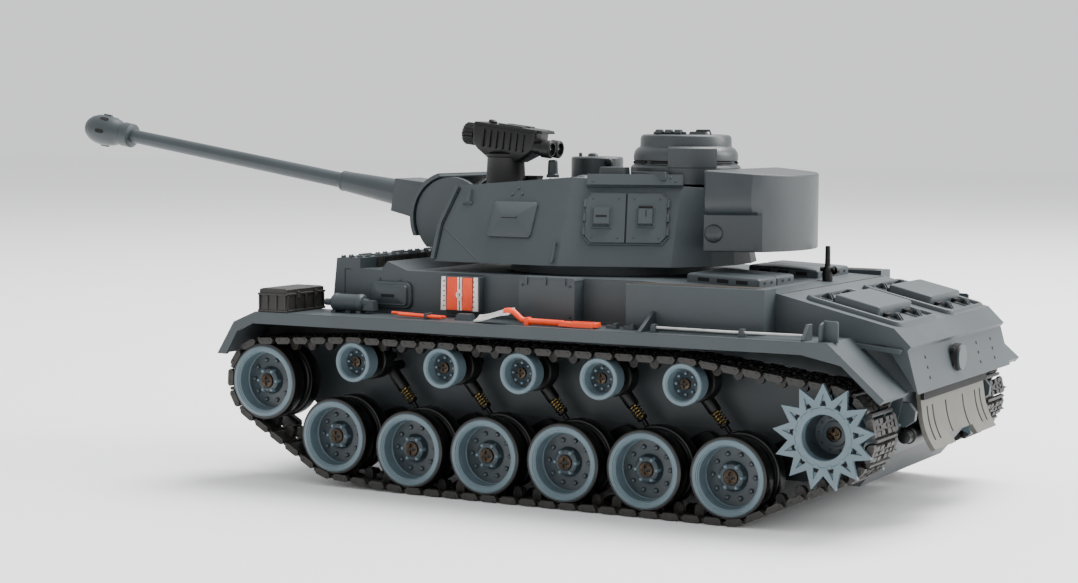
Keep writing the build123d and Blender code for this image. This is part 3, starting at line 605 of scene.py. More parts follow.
BELT_GAP = 0.25  # mm between a tyre and the belt line
belt_circles = [spot("wheel_6_left_spin", tyre_tread + BELT_GAP),
    spot("wheel_2_left_spin", tyre_tread + BELT_GAP),
    spot("wheel_1_left_spin", tyre_tread + BELT_GAP), spot("idler_left_spin", 15.2 + BELT_GAP),
    spot("roller_1_left_spin", 7.65 + BELT_GAP), spot("roller_5_left_spin", 7.65 + BELT_GAP),
    spot("drive_left_spin", 16.2)]
belt, belt_so_far = belt_line(belt_circles)
link_count = round(belt_so_far[-1] / 8.3)
steps_along = (np.arange(link_count) + 0.5) / link_count * belt_so_far[-1]
link_at = np.column_stack([np.interp(steps_along, belt_so_far, belt[:, k]) for k in (0, 1)])
reach = 2.6
before, after = (np.column_stack([np.interp((steps_along + d) % belt_so_far[-1], belt_so_far,
    belt[:, k]) for k in (0, 1)]) for d in (-reach, reach))
link_ahead = (after - before) / np.hypot(*(after - before).T)[:, None]
link_out = np.column_stack([link_ahead[:, 1], -link_ahead[:, 0]])
print(link_count, "links of", round(belt_so_far[-1] / link_count, 2), "mm")

# %% [markdown]
# The link itself: two ribbed shoes side by side, a lozenge end connector at each
# edge, a round-topped guide horn that runs between the twin discs, and the hinge
# bar to the next link.

# %% One link
lozenge = [(-3.5, 0.55), (-2.6, -0.75), (2.4, -0.75), (3.3, 0.3), (3.3, 1), (2.5, 1.76),
    (-2.6, 1.76), (-3.5, 1.2)]
horn_turn = np.linspace(0, np.pi, 7)
horn = np.column_stack([1.85 * np.cos(horn_turn), -1.6 - 2.3 * np.sin(horn_turn)]).tolist()
horn = [(1.85, 0.6)] + horn + [(-1.85, 0.6)]


def bar(t0, t1, y0, y1, n0, n1):
    """Square bar of a link: t along the track, y across it, n outward."""
    return side_cut([(t0, n0), (t1, n0), (t1, n1), (t0, n1)], y0, y1)


link_web = joined(bar(-3, 3, 54.4, 62.9, 0.3, 1.35), bar(-3, 3, 65.3, 73.6, 0.3, 1.35),
    bar(-1, 1, 62.5, 65.6, 0.4, 1.5), side_cut([(3.4, 0.5), (4, 0.1), (4.8, 0.1), (5.1, 0.9),
    (4.8, 1.6), (4, 1.7)], 53.6, 74.4), side_cut(horn, 65.5, 68.2))
link_ribs = joined(*[bar(t, t + 1.5, y, y + 3.4, 1.2, 1.76) for t in (-2.9, 1.3)
    for y in (54.7, 59.2, 65.5, 70)], *[bar(-0.5, 0.5, y, y + 2.3, 1.2, 1.8)
    for y in (56, 60, 66.4, 70.6)])
pin_ends = joined(*[set_out(stud(0.62, 0.3, 8), (t, y, 0.75), ey=(0, 0, 1), ez=(0, s, 0))
    for t in (-2, 1.8) for y, s in ((75.9, 1), (52.1, -1))])
end_connectors = joined(side_cut(lozenge, 73.55, 76), side_cut(lozenge, 52, 54.45), pin_ends)
for side, word in SIDES:
    places = dict(origin=np.column_stack([link_at[:, 0], np.zeros(link_count), link_at[:, 1]]),
        ex=np.column_stack([link_ahead[:, 0], np.zeros(link_count), link_ahead[:, 1]]),
        ey=(0, side, 0), ez=np.column_stack([link_out[:, 0], np.zeros(link_count), link_out[:, 1]]))
    make(f"track_{word}_links", "hull", (set_out(link_web, **places), track_nylon),
        (set_out(link_ribs, **places), track_nylon), (set_out(end_connectors, **places), pad_nylon),
        slot="track_link", stands_for=[f"track_{word}"], corner=35)

# %% [markdown]
# ## Shock absorbers
# Each has a black sleeve, a short coil of brassy wire and a thin piston rod. The
# coil is a helix: the radius turns evenly while the height rises evenly.

# %% Shocks
def coil(start, direction, radius, length, turns, wire):
    """Helix start + length·s·direction + radius·(cos, sin)(2·pi·turns·s), as a round wire."""
    direction = np.asarray(direction, float) / np.linalg.norm(direction)
    first, second = square_to(direction)
    s = np.linspace(0, 1, int(turns * 16) + 1)[:, None]
    turn = 2 * np.pi * turns * s
    round_axis = radius * (np.cos(turn) * first + np.sin(turn) * second)
    return tube(np.asarray(start) + length * s * direction + round_axis, wire, 6)


ROLLER_PITCH = 33.23  # mm between return rollers
lean = np.array([-10.2, 0, -12.6]) / np.hypot(10.2, 12.6)
sleeves, coils = [], []
for k in range(5):
    top = np.array([centre["roller_5_left_spin"][0] + 2.9 + ROLLER_PITCH * k, 53.8, 28])
    sleeves += [lathe([(1, -0.6), (2.1, -0.5), (2.5, 0), (2.5, 9.6), (2.2, 10.2), (1, 10.3)], top,
        lean, 20), lathe([(0.9, 9.8), (0.9, 19.2), (0.5, 19.4)], top, lean, 10),
        lathe([(1, 15.4), (2, 15.5), (2, 16.4), (1, 16.6)], top, lean, 16), lathe([(1, 0), (1.8, 0),
        (1.8, 8.8), (1.2, 9.2), (0.5, 9.2)], (top[0], 46.2, top[2] + 0.6), (0, 1, 0), 18)]
    coils.append(coil(top + 10.2 * lean, lean, 1.95, 5.4, 4.5, 0.28))
make("shock_sleeves", "hull", (both(joined(*sleeves)), black_nylon), slot="black_plastic",
     stands_for=["shock_absorbers"])
make("shock_springs", "hull", (both(joined(*coils)), brass_wire), slot="screw_steel")

# %% [markdown]
# ## Pieces kept from the CAD model
# Where the CAD shape is already right, only its finish changes. Its mesh is made
# of loose triangles, so a material with its own rounded-edge shading is used:
# the Bevel node bends the normals within half a millimetre of a corner, as the
# radius of a real mould does.

# %% Soft edges for CAD pieces
def with_soft_edges(material, name, radius_mm=0.35):
    """Copy of a finish whose bump starts from rounded corners."""
    copy = material.copy()
    copy.name = name
    bump = next(n for n in copy.node_tree.nodes if n.type == "BUMP")
    soft = add_node(copy, "Bevel", {"Radius": radius_mm / 1000}, samples=4)
    copy.node_tree.links.new(soft.outputs["Normal"], bump.inputs["Normal"])
    return copy


slate_soft = with_soft_edges(slate_abs, "slate_moulded_abs_soft_edges")
tub_soft = with_soft_edges(tub_abs, "light_grey_moulded_abs_soft_edges")
warm_soft = with_soft_edges(warm_abs, "warm_grey_moulded_abs_soft_edges")
board_green = finish_of("green_solder_mask", "#0d4a26", "#14592f", 0.35, IOR=1.5)
cell_wrap = finish_of("blue_shrink_wrap", "#1d2f63", "#263b78", 0.3, IOR=1.5)
gear_nylon = finish_of("natural_gear_nylon", "#b9b6ac", "#c7c4ba", 0.5, IOR=1.53)
kept = {"upper_hull": slate_soft, "lower_hull": tub_soft, "rear_deflector": warm_soft,
    "turret_shell": slate_soft, "turret_base": slate_soft, "mantlet": slate_soft,
    "gun_barrel": slate_soft, "roller_axles": black_nylon, "battery_pack": cell_wrap,
    "circuit_board": board_green, "motor_units": gear_nylon, "power_switch": black_nylon}
kept.update({n: black_nylon for n in frame["nodes"] if n.startswith("swing_arm")})
for node, material in kept.items():
    frame["nodes"][node].data.materials.clear()
    frame["nodes"][node].data.materials.append(material)
print(len(kept), "CAD pieces finished")

# %% [markdown]
# ## Hull details
# The side wall carries a pressed port, a drum, boxes and tools. They are low
# mouldings, so each is a flat outline raised from the wall with its top drawn
# in, which gives the draft a mould needs.

# %% Side port, seam and wall dots
wall_y = 55.5
port_frame = stacked([(18.4, 10.6, 2.6, -0.4), (18.4, 10.6, 2.6, 0.9), (17.4, 9.6, 2.2, 1.5),
                      (16.2, 8.4, 1.6, 1.5), (15.4, 7.6, 1.3, 2.6)])
port_top = stacked([(15.2, 7.4, 0.6, 2.3), (9.4, 2.4, 0.6, 3.6)])
port_slot = block(-3, 3, -0.7, 0.5, 3.2, 3.75)
port, port_shade = (facing_out(shape, 152, 57, 1, wall_y)
                    for shape in (joined(port_frame, port_top), port_slot))
wall_dots = set_out(stud(0.55, 0.45, 8), [(157.8, wall_y, 63), (148.3, wall_y, 63)], ey=(0, 0, 1),
    ez=(0, 1, 0))
seam = joined(block(174, 174.3, wall_y, wall_y + 0.12, 54, 66.4), block(171.5, 174.3, wall_y,
    wall_y + 0.12, 66.2, 66.5))
make("side_ports", "hull", (both(port), slate_abs),
     (both(wall_dots), slate_abs), (both(joined(seam, port_shade)), slot_black),
     bevel=0.25)

# %% [markdown]
# A row of spare track links is moulded across the front of the roof. Its top
# carries pairs and rows of tiny pins, and its back face is dark.

# %% Spare links on the roof
pin_rows = np.concatenate([y0 + np.array(offsets) for y0, offsets in zip(
    np.arange(-50, 51, 12.5), [(-3.2, -1.4, 2.2, 4), (-4, -2.4, -0.8, 0.8, 2.4, 4)] * 5)])
strip_pins = joined(*[set_out(stud(0.55, 0.9, 8), np.column_stack([np.full(len(pin_rows), x),
    pin_rows, np.full(len(pin_rows), 70.75)])) for x in (168.6, 172.4, 176.4)])
link_backs = joined(*[block(166.55, 167.2, y, y + 5.4, 66.9, 70.4, 0.25)
    for y in np.arange(-48.5, 43.5, 6.2)])
link_tops = joined(*[block(167.6, 177.4, y, y + 5.6, 70.4, 70.98, 0.3)
    for y in np.arange(-48.5, 43.5, 6.2)])
make("spare_links", "hull", (link_backs, track_nylon), (link_tops, slate_abs),
    (strip_pins, slate_abs), slot="track_link")

# %% [markdown]
# The silencer drum on each fender is turned: bands, a waist and a stub at each
# end. Its section is read along the axis.

# %% Silencer drum and crate
drum = lathe([(1.2, -11.6), (2.2, -11.4), (2.2, -9.2), (3.4, -8.9), (4.1, -8.2), (4.25, -7.9),
    (4.25, -6.3), (4, -6.1), (4, 4.7), (4.25, 4.9), (4.25, 6.5), (4, 6.8), (3.4, 7.5), (2.4, 8.4),
    (1.6, 8.6), (1.6, 12), (0.8, 12.2)], (167, 64, 54.4), (1, 0, 0), 36)
drum_bits = joined(block(152, 157.6, 61.6, 66.4, 51.4, 55.9, 0.5),
    block(164.6, 167.2, 63, 66, 49.9, 51.6), block(158.5, 161, 62, 67, 49.9, 51.2, 0.3),
    block(172, 174.5, 62, 67, 49.9, 51.2, 0.3))
DRUM_SCALE = 0.86
drums = set_out(joined(drum, drum_bits), (1 - DRUM_SCALE) * np.array([168.5, 64, 50]),
    ex=(DRUM_SCALE, 0, 0), ey=(0, DRUM_SCALE, 0), ez=(0, 0, DRUM_SCALE))
make("silencer_drums", "hull", (both(drums), slate_abs), bevel=0.2)

crate_body = joined(block(181, 194.5, 53.3, 79.8, 50.05, 59, 0.4),
    block(180.8, 194.7, 53.1, 80, 56.6, 57.5), block(180.8, 194.7, 53.1, 80, 50.1, 51))
crate_ribs = joined(*[block(x, x + 0.8, 79.6, 80.15, 51, 56.6)
    for x in (181.4, 185.6, 189.8, 193.4)], *[block(180.65, 181.2, y, y + 0.8, 51, 56.6)
    for y in (54, 60.2, 66.4, 72.6, 78.6)], block(181.6, 193.9, 54, 79.2, 58.8, 59.3, 0.5),
    *[block(180.2, 181.2, y, y + 2.2, 55.6, 58.2, 0.2) for y in (59, 71)])
make("crate_detail", "hull", (set_out(joined(crate_body, crate_ribs), (4.2, 0, 0)), crate_paint),
    bevel=0.2)

# %% [markdown]
# The first-aid type box has orange leaves between white posts, and a white
# strap with an eye. The colours are brushed on the same slate box.

# %% Orange and white box
box_core = block(110.6, 127.7, 55, 59.4, 52.3, 65.5)
posts = joined(*[block(x, x + 2.2, 58.4, 60, 52.5, 65.4, 0.2) for x in (111, 125.2)])
post_notches = joined(*[block(x, x + 0.7, 59.8, 60.1, z, z + 0.5) for x in (112.6, 125.6)
                        for z in np.arange(54, 65, 1.9)])
leaves = joined(block(113.5, 118, 58.6, 59.8, 52.7, 65.2, 0.15),
    block(120.2, 124.9, 58.6, 59.8, 52.7, 65.2, 0.15))
strap = joined(block(118.15, 118.9, 58.6, 59.9, 52.6, 65.3),
    block(119.4, 120.1, 58.6, 59.9, 52.6, 65.3),
    lathe([(0.7, 0), (1.35, 0), (1.35, 0.7), (0.7, 0.7)], (119.1, 59.7, 58.6), (0, 1, 0), 20,
    closed=True), block(118.2, 120, 59.3, 60.1, 56.4, 57.2),
    block(118.2, 120, 59.3, 60.1, 59.9, 60.7))
make("first_box", "hull", (joined(box_core, post_notches), slate_abs),
    (joined(posts, strap), white_paint), (leaves, orange_paint), bevel=0.12, slot="orange_plastic",
    stands_for=["fender_tools"])

# %% [markdown]
# The shovel's blade is a bent sheet: its height rises along its length as a
# smooth step and it is slightly hollow across. The shaft is a round bar along a
# path that steps down to the fender.

# %% Shovel and bars
u = np.linspace(0, 1, 14)[:, None]
v = np.linspace(-1, 1, 7)[None]
blade_x = 121.0 - 17.5 * u + 0 * v
blade_y = 74.0 + (3.1 - 0.9 * np.maximum(0, u - 0.7) - 0.8 * (1 - u) ** 6) * v
blade_z = 51.4 + 3.2 * (3 * u ** 2 - 2 * u ** 3) + 0.45 * v ** 2 - 0.9 * v
blade_top = np.stack([blade_x, blade_y, blade_z], -1)
rim_path = np.concatenate([blade_top, (blade_top - [0, 0, 0.7])[:, ::-1]], axis=1)
blade = loft(rim_path)
shaft_path = np.array([(107, 54.6), (104.5, 55), (102.3, 54.6), (100.3, 53.2), (98.4, 51.9),
    (96, 51.5), (88, 51.4), (78, 51.3)])
shaft = tube(np.column_stack([shaft_path[:, 0], np.full(8, 74), shaft_path[:, 1]]), 1.15, 12)
clip = block(94.4, 96.4, 72.2, 75.8, 50, 52.9, 0.2)
grip = joined(block(74.5, 79.5, 71.9, 76.1, 50.4, 52.1, 0.4),
    block(63, 76, 74.4, 76.3, 50.3, 52, 0.3), block(61.4, 75, 71.4, 73.2, 50.5, 52.2, 0.3),
    block(61.6, 64, 72.6, 75.6, 50.5, 51.9, 0.2))
bars = joined(tube([(161, 71.2, 51.6), (148, 71.2, 51.2), (137, 71.2, 50.9)], 0.6, 8),
              tube([(156.5, 73.6, 51.4), (148, 73.6, 51.1), (137.6, 73.6, 50.9)], 0.6, 8))
bar_clip = block(143.6, 144.6, 70.2, 74.8, 50, 52.3)
rest = block(126.5, 133.5, 66, 71, 50, 52.4, 0.8)
bars_back = (-18.6, 0, 0)
shrunk = dict(origin=(-0.3, 0, 0), ex=(0.857, 0, 0))
make("shovel_and_bars", "hull", (set_out(blade, **shrunk), silver_paint),
    (joined(set_out(joined(shaft, clip, grip), **shrunk), set_out(bars, bars_back)), orange_paint),
    (set_out(joined(bar_clip, rest), bars_back), slate_abs), bevel=0.12, slot="orange_plastic")

# %% [markdown]
# Tool box, long side bin, and the strip of woven mesh on the bin.

# %% Boxes on the fender
tool_box = joined(block(68, 91.5, 55, 63, 50.6, 66.4, 0), block(67.8, 91.7, 55, 63.2, 66, 67, 0.5),
    *[block(x, x + 1.2, 62.4, 63.8, 64.2, 67.2, 0.1) for x in (71.5, 79.6, 87.6)])
tool_pins = set_out(stud(0.5, 0.6, 8), [(69.9, 63, 63.9), (89.9, 63, 63.9), (69.9, 63, 52.6),
    (89.9, 63, 52.6)], ey=(0, 0, 1), ez=(0, 1, 0))
bin_side = loft([np.array([(-8.9, y, 50), (45.4, y, 50), (45.4, y, z), (-8.9, y, z)])
                 for y, z in ((55, 66.2), (65.6, 66.2), (66, 65.8))])
mesh_strip = block(-5.5, 44.6, 56.4, 65, 66, 66.32, 0.1)
wall_foot = block(50, 178, 55, 56.4, 50, 51)
make("side_boxes", "hull", (both(joined(tool_box, tool_pins, bin_side)), slate_abs),
    (both(wall_foot), slate_abs), bevel=0.3, stands_for=["fender_boxes"])
make("bin_mesh_strips", "hull", (both(mesh_strip), mesh_brown))

# %% [markdown]
# Small fittings along the fender: gussets, a bright rod in its clamps, hook
# blocks, and an upright folded bracket over the rear mudguard.

# %% Fender fittings
gusset = loft([np.array([(x, 65.8, 50), (x, 78.5, 50), (x, 78, 50.6), (x, 67, 56.6),
    (x, 65.8, 56.6)]) for x in (33.4, 34.8)])
end_gusset = loft([np.array([(x, 70, 50), (x, 78, 50), (x, 78, 50.6), (x, 73.4, 55.5),
    (x, 70, 55.5)]) for x in (-28.6, -27.4)])
clamps = joined(*[block(x, x + 2.4, 72.4, 75.6, 50, 52.9, 0.4) for x in (28.8, -5.2)],
                *[block(x, x + 1.6, 68.2, 71.4, 50, 52, 0.3) for x in (46.6, 39.6)],
                *[block(x, x + 3.6, 68.9, 70.4, 50, 51.3, 0.2) for x in (47.7, 40.7)])
bracket = joined(side_cut([(-33.6, 49.6), (-39.4, 49.6), (-39.4, 56.4), (-38.8, 57), (-34.2, 57.2),
    (-33.6, 56.4)], 72.9, 74), loft([np.array([(x, 73.4, 49.6), (x, 77.4, 49.6), (x, 77.4, 54.6),
    (x, 76.8, 56), (x, 73.4, 56.8)]) for x in (-33.6, -34.5)]))
flange_strip = side_cut([(-28.4, 49), (-42.9, 46), (-42.9, 43.6), (-28.4, 46.2)], 80, 80.28)
ledge = side_cut([(-35, 48.8), (-36, 47), (-56, 45.2), (-56.6, 46.8)], 55.3, 58)
rail_rod = tube([(31, 74, 51.7), (0, 74, 51.5), (-27.8, 74, 51.6)], 0.55, 8)
make("fender_fittings", "hull", (both(joined(gusset, end_gusset, clamps, bracket, flange_strip,
    ledge)), slate_abs), (both(rail_rod), silver_paint), bevel=0.2)

# %% [markdown]
# ## Engine deck
# The deck slopes down to the rear, so its fittings are drawn flat and then laid
# on it: x along the slope, z square to it.

# %% Laying things on a slope
def slope(low, high, at_x):
    """Origin and axes of the deck line between two points (x, z), at a given x."""
    along = np.array([high[0] - low[0], 0, high[1] - low[1]])
    along /= np.linalg.norm(along)
    z = low[1] + (high[1] - low[1]) * (at_x - low[0]) / (high[0] - low[0])
    return (at_x, 0, z), along, np.array([-along[2], 0, along[0]])


def laid(shape, place, y=0.0):
    """Shape drawn flat, laid on a slope at y from the middle."""
    (x, _, z), along, up = place
    return set_out(shape, (x, y, z), ex=along, ez=up)


deck = slope((-53, 53.9), (-9.5, 64.2), -35.2)
roof = slope((-9.5, 64.2), (45, 66.6), 16)


def rim_of(width, height, corner, band, rise):
    """Raised rim: the section, a half round, is carried along a rounded rectangle."""
    turn = np.linspace(0, np.pi, 7)
    inset = band / 2 * (1 - np.cos(turn))
    rings = [np.column_stack([rounded(width - 2 * i, height - 2 * i, max(corner - i, 0.4), 6),
                              np.full(24, rise * np.sin(t) - 0.15)]) for i, t in zip(inset, turn)]
    return grid(np.array(rings + [rings[-1] - [0, 0, 0.2], rings[0] - [0, 0, 0.2]]), close_u=True,
        close_v=True)


lug_outline = [(-2.6, 0), (2.4, 0), (1.6, 0.7), (0.4, 2.1), (-0.4, 2.1), (-1.6, 1)]
hinge_lug = joined(*[side_cut(lug_outline, y, y + 0.6) for y in (-1.1, 0.5)],
                   block(-2.4, 2.6, -2.6, 2.6, 0, 0.45, 0.2))
hinge_lug = (hinge_lug[0] * [1.25, 1.2, 1.25], hinge_lug[1])
hinge_shade = joined(set_out(lathe([(0.55, -1.7), (0.55, 1.7)], axis=(0, 1, 0), steps=10),
    (0, 0, 1.35)), block(2.6, 4.8, -2.4, 2.4, 0.25, 1.6), block(-2.2, -1.2, -0.5, 0.5, 0.3, 0.8))
covers, shade = [], []
for y in (28.7, -28.7):
    floor_plate = prism(rounded(36, 41.6, 3.2, 6), -0.2, 0.35)
    slab = stacked([(17.4, 35, 1.2, 0.2), (17.4, 35, 1.2, 3.5), (17, 34.6, 1, 3.95),
                    (16.2, 33.8, 0.8, 4.25)], 6)
    covers += [laid(s, deck, y) for s in (rim_of(37.2, 43.4, 4, 2.4, 1.9), floor_plate, slab)]
    for x, dy, way in [(x, dy, way) for dy in (-10.3, 10.3) for x, way in ((-13, 1), (13.2, -1))]:
        for shapes, shape in ((covers, hinge_lug), (shade, hinge_shade)):
            turned = set_out(shape, (x, dy, 0.3), ex=(way, 0, 0), ey=(0, way, 0))
            shapes.append(laid(turned, deck, y))
for y in (37.7, 20.5, -20.5, -37.7):
    body = stacked([(29, 16.6, 0.8, -0.2), (29, 16.6, 0.8, 2.9), (28.4, 16, 0.9, 3.45),
                    (27.2, 14.8, 0.9, 3.7)])
    covers.append(laid(body, roof, y))
    shade += [laid(block(x - 2.3, x + 2.3, s * 8.32 - 0.05, s * 8.32 + 0.05, 1.1, 2.5), roof, y)
              for x in (-7.6, 0, 7.6) for s in (-1, 1)]
    shade += [laid(block(s * 14.52 - 0.05, s * 14.52 + 0.05, v0 - 1.1, v0 + 1.1, 1.3, 2.3), roof, y)
              for v0 in (-3.2, 3.2) for s in (-1, 1)]
covers.append(laid(joined(block(-17, 17, -47.5, 47.5, -0.25, 0.35, 0.5)), roof, 0))
make("deck_covers_and_intakes", "hull", (joined(*covers), slate_abs), (joined(*shade), slot_black),
     bevel=0.15, stands_for=["engine_deck_covers"])

# %% Aerial post, deck seams and rear plate
aerial = joined(lathe([(2, 0), (2, 3.2), (1.8, 4.6), (1.1, 5.6), (1, 13), (0.8, 13.4)],
    (-3.3, -10, 64.6), steps=18), lathe([(0.6, -2.9), (0.9, -2.8), (0.9, 2.8), (0.6, 2.9)],
    (-3.3, -10, 69), (1, 0, 0), 10))
lever = lathe([(0.3, -0.3), (1.5, -0.3), (1.6, 0.3), (0.3, 0.3)], (-5.6, -11.5, 68.6), (0.4, 1, 0),
    24)
seams = laid(block(25.6, 25.9, -54, 54, 0, 0.1), deck)
rear = np.array([-62.1 + 58, 0, 31.4 - 46.3])
rear /= np.linalg.norm(rear)
rear_out = np.array([rear[2], 0, -rear[0]])


def on_rear(shape, y, down):
    """Shape drawn with z as height, on the rear plate at y and some way down from its top."""
    return set_out(shape, np.array([-58, y, 46.3]) + down * rear, ex=(0, 1, 0), ey=-rear,
        ez=rear_out)


bolt_holes = joined(*[on_rear(lathe([(0.62, -0.2), (0.62, 0.12)], steps=10), y, d)
                      for y in (39, -20.7, -38.6) for d in (3.6, 7.3, 11)])
cap_ring = joined(lathe([(4.62, -0.4), (5.1, 0.2), (5.1, 1.6), (4.8, 2.5), (4.62, 2.5)],
    (-59.6, 7.5, 40.2), (-1, 0, 0), 40, closed=True),
    *[lathe([(0.3, 0), (0.9, 0), (0.9, 1.5), (0.5, 1.7)], (-59.4, 7.5 + 5.2 * np.cos(a),
    40.2 + 5.2 * np.sin(a)), (-1, 0, 0), 10) for a in np.radians((35, 145, 215, 325))])
gap_shade = block(-58.3, -57, -37.3, 37.3, 27.3, 30.4)
make("aerial_post", "hull", (joined(aerial, lever), black_nylon), slot="black_plastic")
make("rear_plate_fittings", "hull", (joined(bolt_holes, cap_ring, seams, gap_shade), slot_black))

# %% [markdown]
# Below the rear plate hang two tow lugs and a dark silencer cross tube, partly
# hidden by the deflector.

# %% Below the rear plate
tow_lug = side_cut([(-50, 27.5), (-55.5, 27), (-58, 24), (-57.6, 20.6), (-54.5, 18.4), (-50, 18)],
    43, 45.4)
cross_tube = joined(lathe([(2.6, -40.5), (3, -40.2), (3, 40.2), (2.6, 40.5)], (-53.6, 0, 14.6),
    (0, 1, 0), 24), both(lathe([(1.6, 0), (2.4, 0), (2.4, 4.6), (2, 4.8)], (-53.6, 40, 14.6),
    (0, 1, 0), 16)))
arch_walls = both(side_cut([(140, 49.8), (200, 49.8), (210.1, 45.3), (217.8, 32.9), (211, 32.9),
    (205, 36), (140, 36)], 54.6, 55.6))
make("arch_walls", "hull", (arch_walls, black_nylon))
make("tow_lugs", "hull", (both(tow_lug), slate_abs), (cross_tube, black_nylon), bevel=0.3)

# %% [markdown]
# ## Turret
# The turret's sides are flat facets that lean in. A plane through three points
# of such a facet gives axes on which doors, ports and hinges can be drawn flat.

# %% Facet axes
def facet(a, b, c):
    """Axes on a plane: x from a towards b, z square out of it, away from the middle."""
    a, b, c = (np.asarray(p, float) for p in (a, b, c))
    ex = (b - a) / np.linalg.norm(b - a)
    ez = np.cross(ex, c - a)
    ez /= np.linalg.norm(ez)
    if ez[1] < 0:
        ez = -ez
    ey = np.cross(ez, ex)
    return a, ex, (ey if ey[2] > 0 else -ey), ez


def on_facet(shape, axes, at):
    """Shape drawn flat, put where the point `at` falls on the facet's plane."""
    origin, ex, ey, ez = axes
    away = np.asarray(at, float) - origin
    return set_out(shape, np.asarray(at, float) - away.dot(ez) * ez, ex, ey, ez)


low_front, low_mid, low_rear = (138.5, 49.2, 70.4), (82, 50.5, 70.4), (42, 35, 70.4)
high_mid, high_rear = (84, 34.7, 104), (44, 20.6, 104)
front_side = facet(low_mid, low_front, high_mid)
rear_side = facet(low_rear, low_mid, high_rear)
print("front side leans", round(float(np.degrees(np.arcsin(front_side[3][2]))), 1), "degrees")


def side_point(x, z, axes):
    """Point of a facet's plane with the given x and z."""
    origin, _, _, out = axes
    return np.array([x, origin[1] - ((x - origin[0]) * out[0] + (z - origin[2]) * out[2]) / out[1],
        z])

# %% Cheek strips, chamfer lines and the pressed port
def strip_between(points, width, rise):
    """Raised band on the front facet along a line of (x, z) points."""
    line = np.array([side_point(x, z, front_side) for x, z in points])
    _, ex, ey, ez = front_side
    return loft([np.array([p - 0.3 * ez, p - width * ex - 0.3 * ez, p - width * ex + rise * ez,
        p + rise * ez]) for p in line])


# Behind each cheek strip runs a thin dull black band: painted shade along the strip's edge.
cheek_strip, strip_shade_line = (
    joined(*[strip_between(ends, width, rise) for ends in (line[:2], line[1:])])
    for line, width, rise in (([(138.2, 70.9), (138.6, 84.5), (134.6, 99)], 1.5, 1.2),
                              ([(136.6, 71.5), (136.9, 84.4), (132.9, 98.6)], 0.5, 0.12)))
crease = np.array([side_point(135.8, 83.4, front_side), side_point(116.5, 70.9, front_side)])
crease_bead = tube(np.linspace(crease[0], crease[1], 3), 0.22, 6)
pressed = stacked([(19.4, 14.8, 1.4, -0.3), (19.4, 14.8, 1.4, 0.8), (18.6, 14, 1.2, 1.1),
                   (8, 2.2, 0.3, 3.1)])
pressed_slot = joined(block(-3.4, 3.4, -0.55, -0.2, 3, 3.2),
    block(-3.4, -3.05, -0.55, 0.55, 3, 3.2))
port_at = side_point(105.8, 87, front_side)
three_studs = joined(*[on_facet(stud(0.6, 0.7, 10), front_side, side_point(x, z, front_side))
                       for x, z in ((108.6, 96.6), (106.4, 99), (104.2, 96.8))])
hook = joined(on_facet(block(-2.2, 2.2, -0.9, 0.7, -0.2, 0.9, 0.3), front_side,
    side_point(127.6, 93, front_side)),
    on_facet(loft([np.array([(-1.3, -0.6, z), (1.3, -0.6, z), (0.6, 5.4, z),
    (-0.6, 5.4, z)]) * s + o for z, s, o in ((-0.2, 1, 0), (1.3, np.array([0.7, 0.9, 1]), 0))]),
    front_side, side_point(127.6, 93.4, front_side)))
make("turret_front_fittings", "turret",
    (both(joined(cheek_strip, on_facet(pressed, front_side, port_at), three_studs, hook,
    crease_bead)), slate_abs),
    (both(joined(strip_shade_line, on_facet(pressed_slot, front_side, port_at))), slot_black), bevel=0.18)

# %% [markdown]
# Double escape doors on the rear facets: two leaves with cut corners, hinge
# barrels at both ends, a visor block on one and a pistol port on the other, and
# a rain ledge over them.

# %% Escape doors
def door_leaf(width, height, cut, mirror):
    """Leaf with its two outer corners cut off."""
    half, tall = width / 2, height / 2
    outline = np.array([(-half, -tall + cut), (-half + cut, -tall), (half, -tall), (half, tall),
        (-half + cut, tall), (-half, tall - cut)])
    return prism(outline * [mirror, 1], -0.2, 0.9, 0.15)


door_mid = side_point(61, 88.2, rear_side)
leaf_gap, leaf_width, leaf_height = 0.2, 17.6, 19.4
leaves_of = joined(*[set_out(door_leaf(leaf_width, leaf_height, 2.6, way),
    (-way * (leaf_width / 2 + leaf_gap), 0, 0.35)) for way in (1, -1)],
    prism(np.array([(-19, -7.2), (-16, -10.2), (16, -10.2), (19, -7.2), (19, 7.2), (16, 10.2),
    (-16, 10.2), (-19, 7.2)]), -0.3, 0.4))
hinges = joined(*[set_out(lathe([(0.4, -1.5), (0.75, -1.4), (0.75, 1.4), (0.4, 1.5)],
    axis=(0, 1, 0), steps=12), (x, y, 1)) for x in (-18.2, 18.2) for y in (-5.4, 0, 5.4)],
    *[block(min(x, x * 0.93), max(x, x * 0.93), y - 1.2, y + 1.2, 0.2, 1.3) for x in (-17.9, 17.9)
    for y in (-5.4, 0, 5.4)])
visor = joined(block(6.4, 14.8, -3.9, 3.9, 1, 3.4, 0.9), block(5.9, 15.3, -4.4, 4.4, 1, 1.6, 0.2))
pistol = joined(block(-12.2, -4.8, -3.4, 3.8, 1, 3, 0.7),
    block(-12.7, -4.3, -3.9, 4.2, 1, 1.6, 0.2))
door_shade = joined(block(8.2, 13, -0.5, 0.3, 3.15, 3.5), block(-11.6, -5.4, 3.5, 4.25, 1.2, 2.7),
                    block(-0.2, 0.2, -9.2, 9.2, 0.9, 1.32), block(-9, -8.6, 0, 2.6, 2.7, 3.1))
door_studs = set_out(stud(0.4, 0.4, 8), [(x, y, 1.2) for x in (-14.6, -3.4, 3.4, 14.6)
    for y in (-7.6, 7.6)])


def squeezed(shape):
    """Door shape brought to the width and height of the opening."""
    return shape[0] * [0.87, 1.04, 1], shape[1]


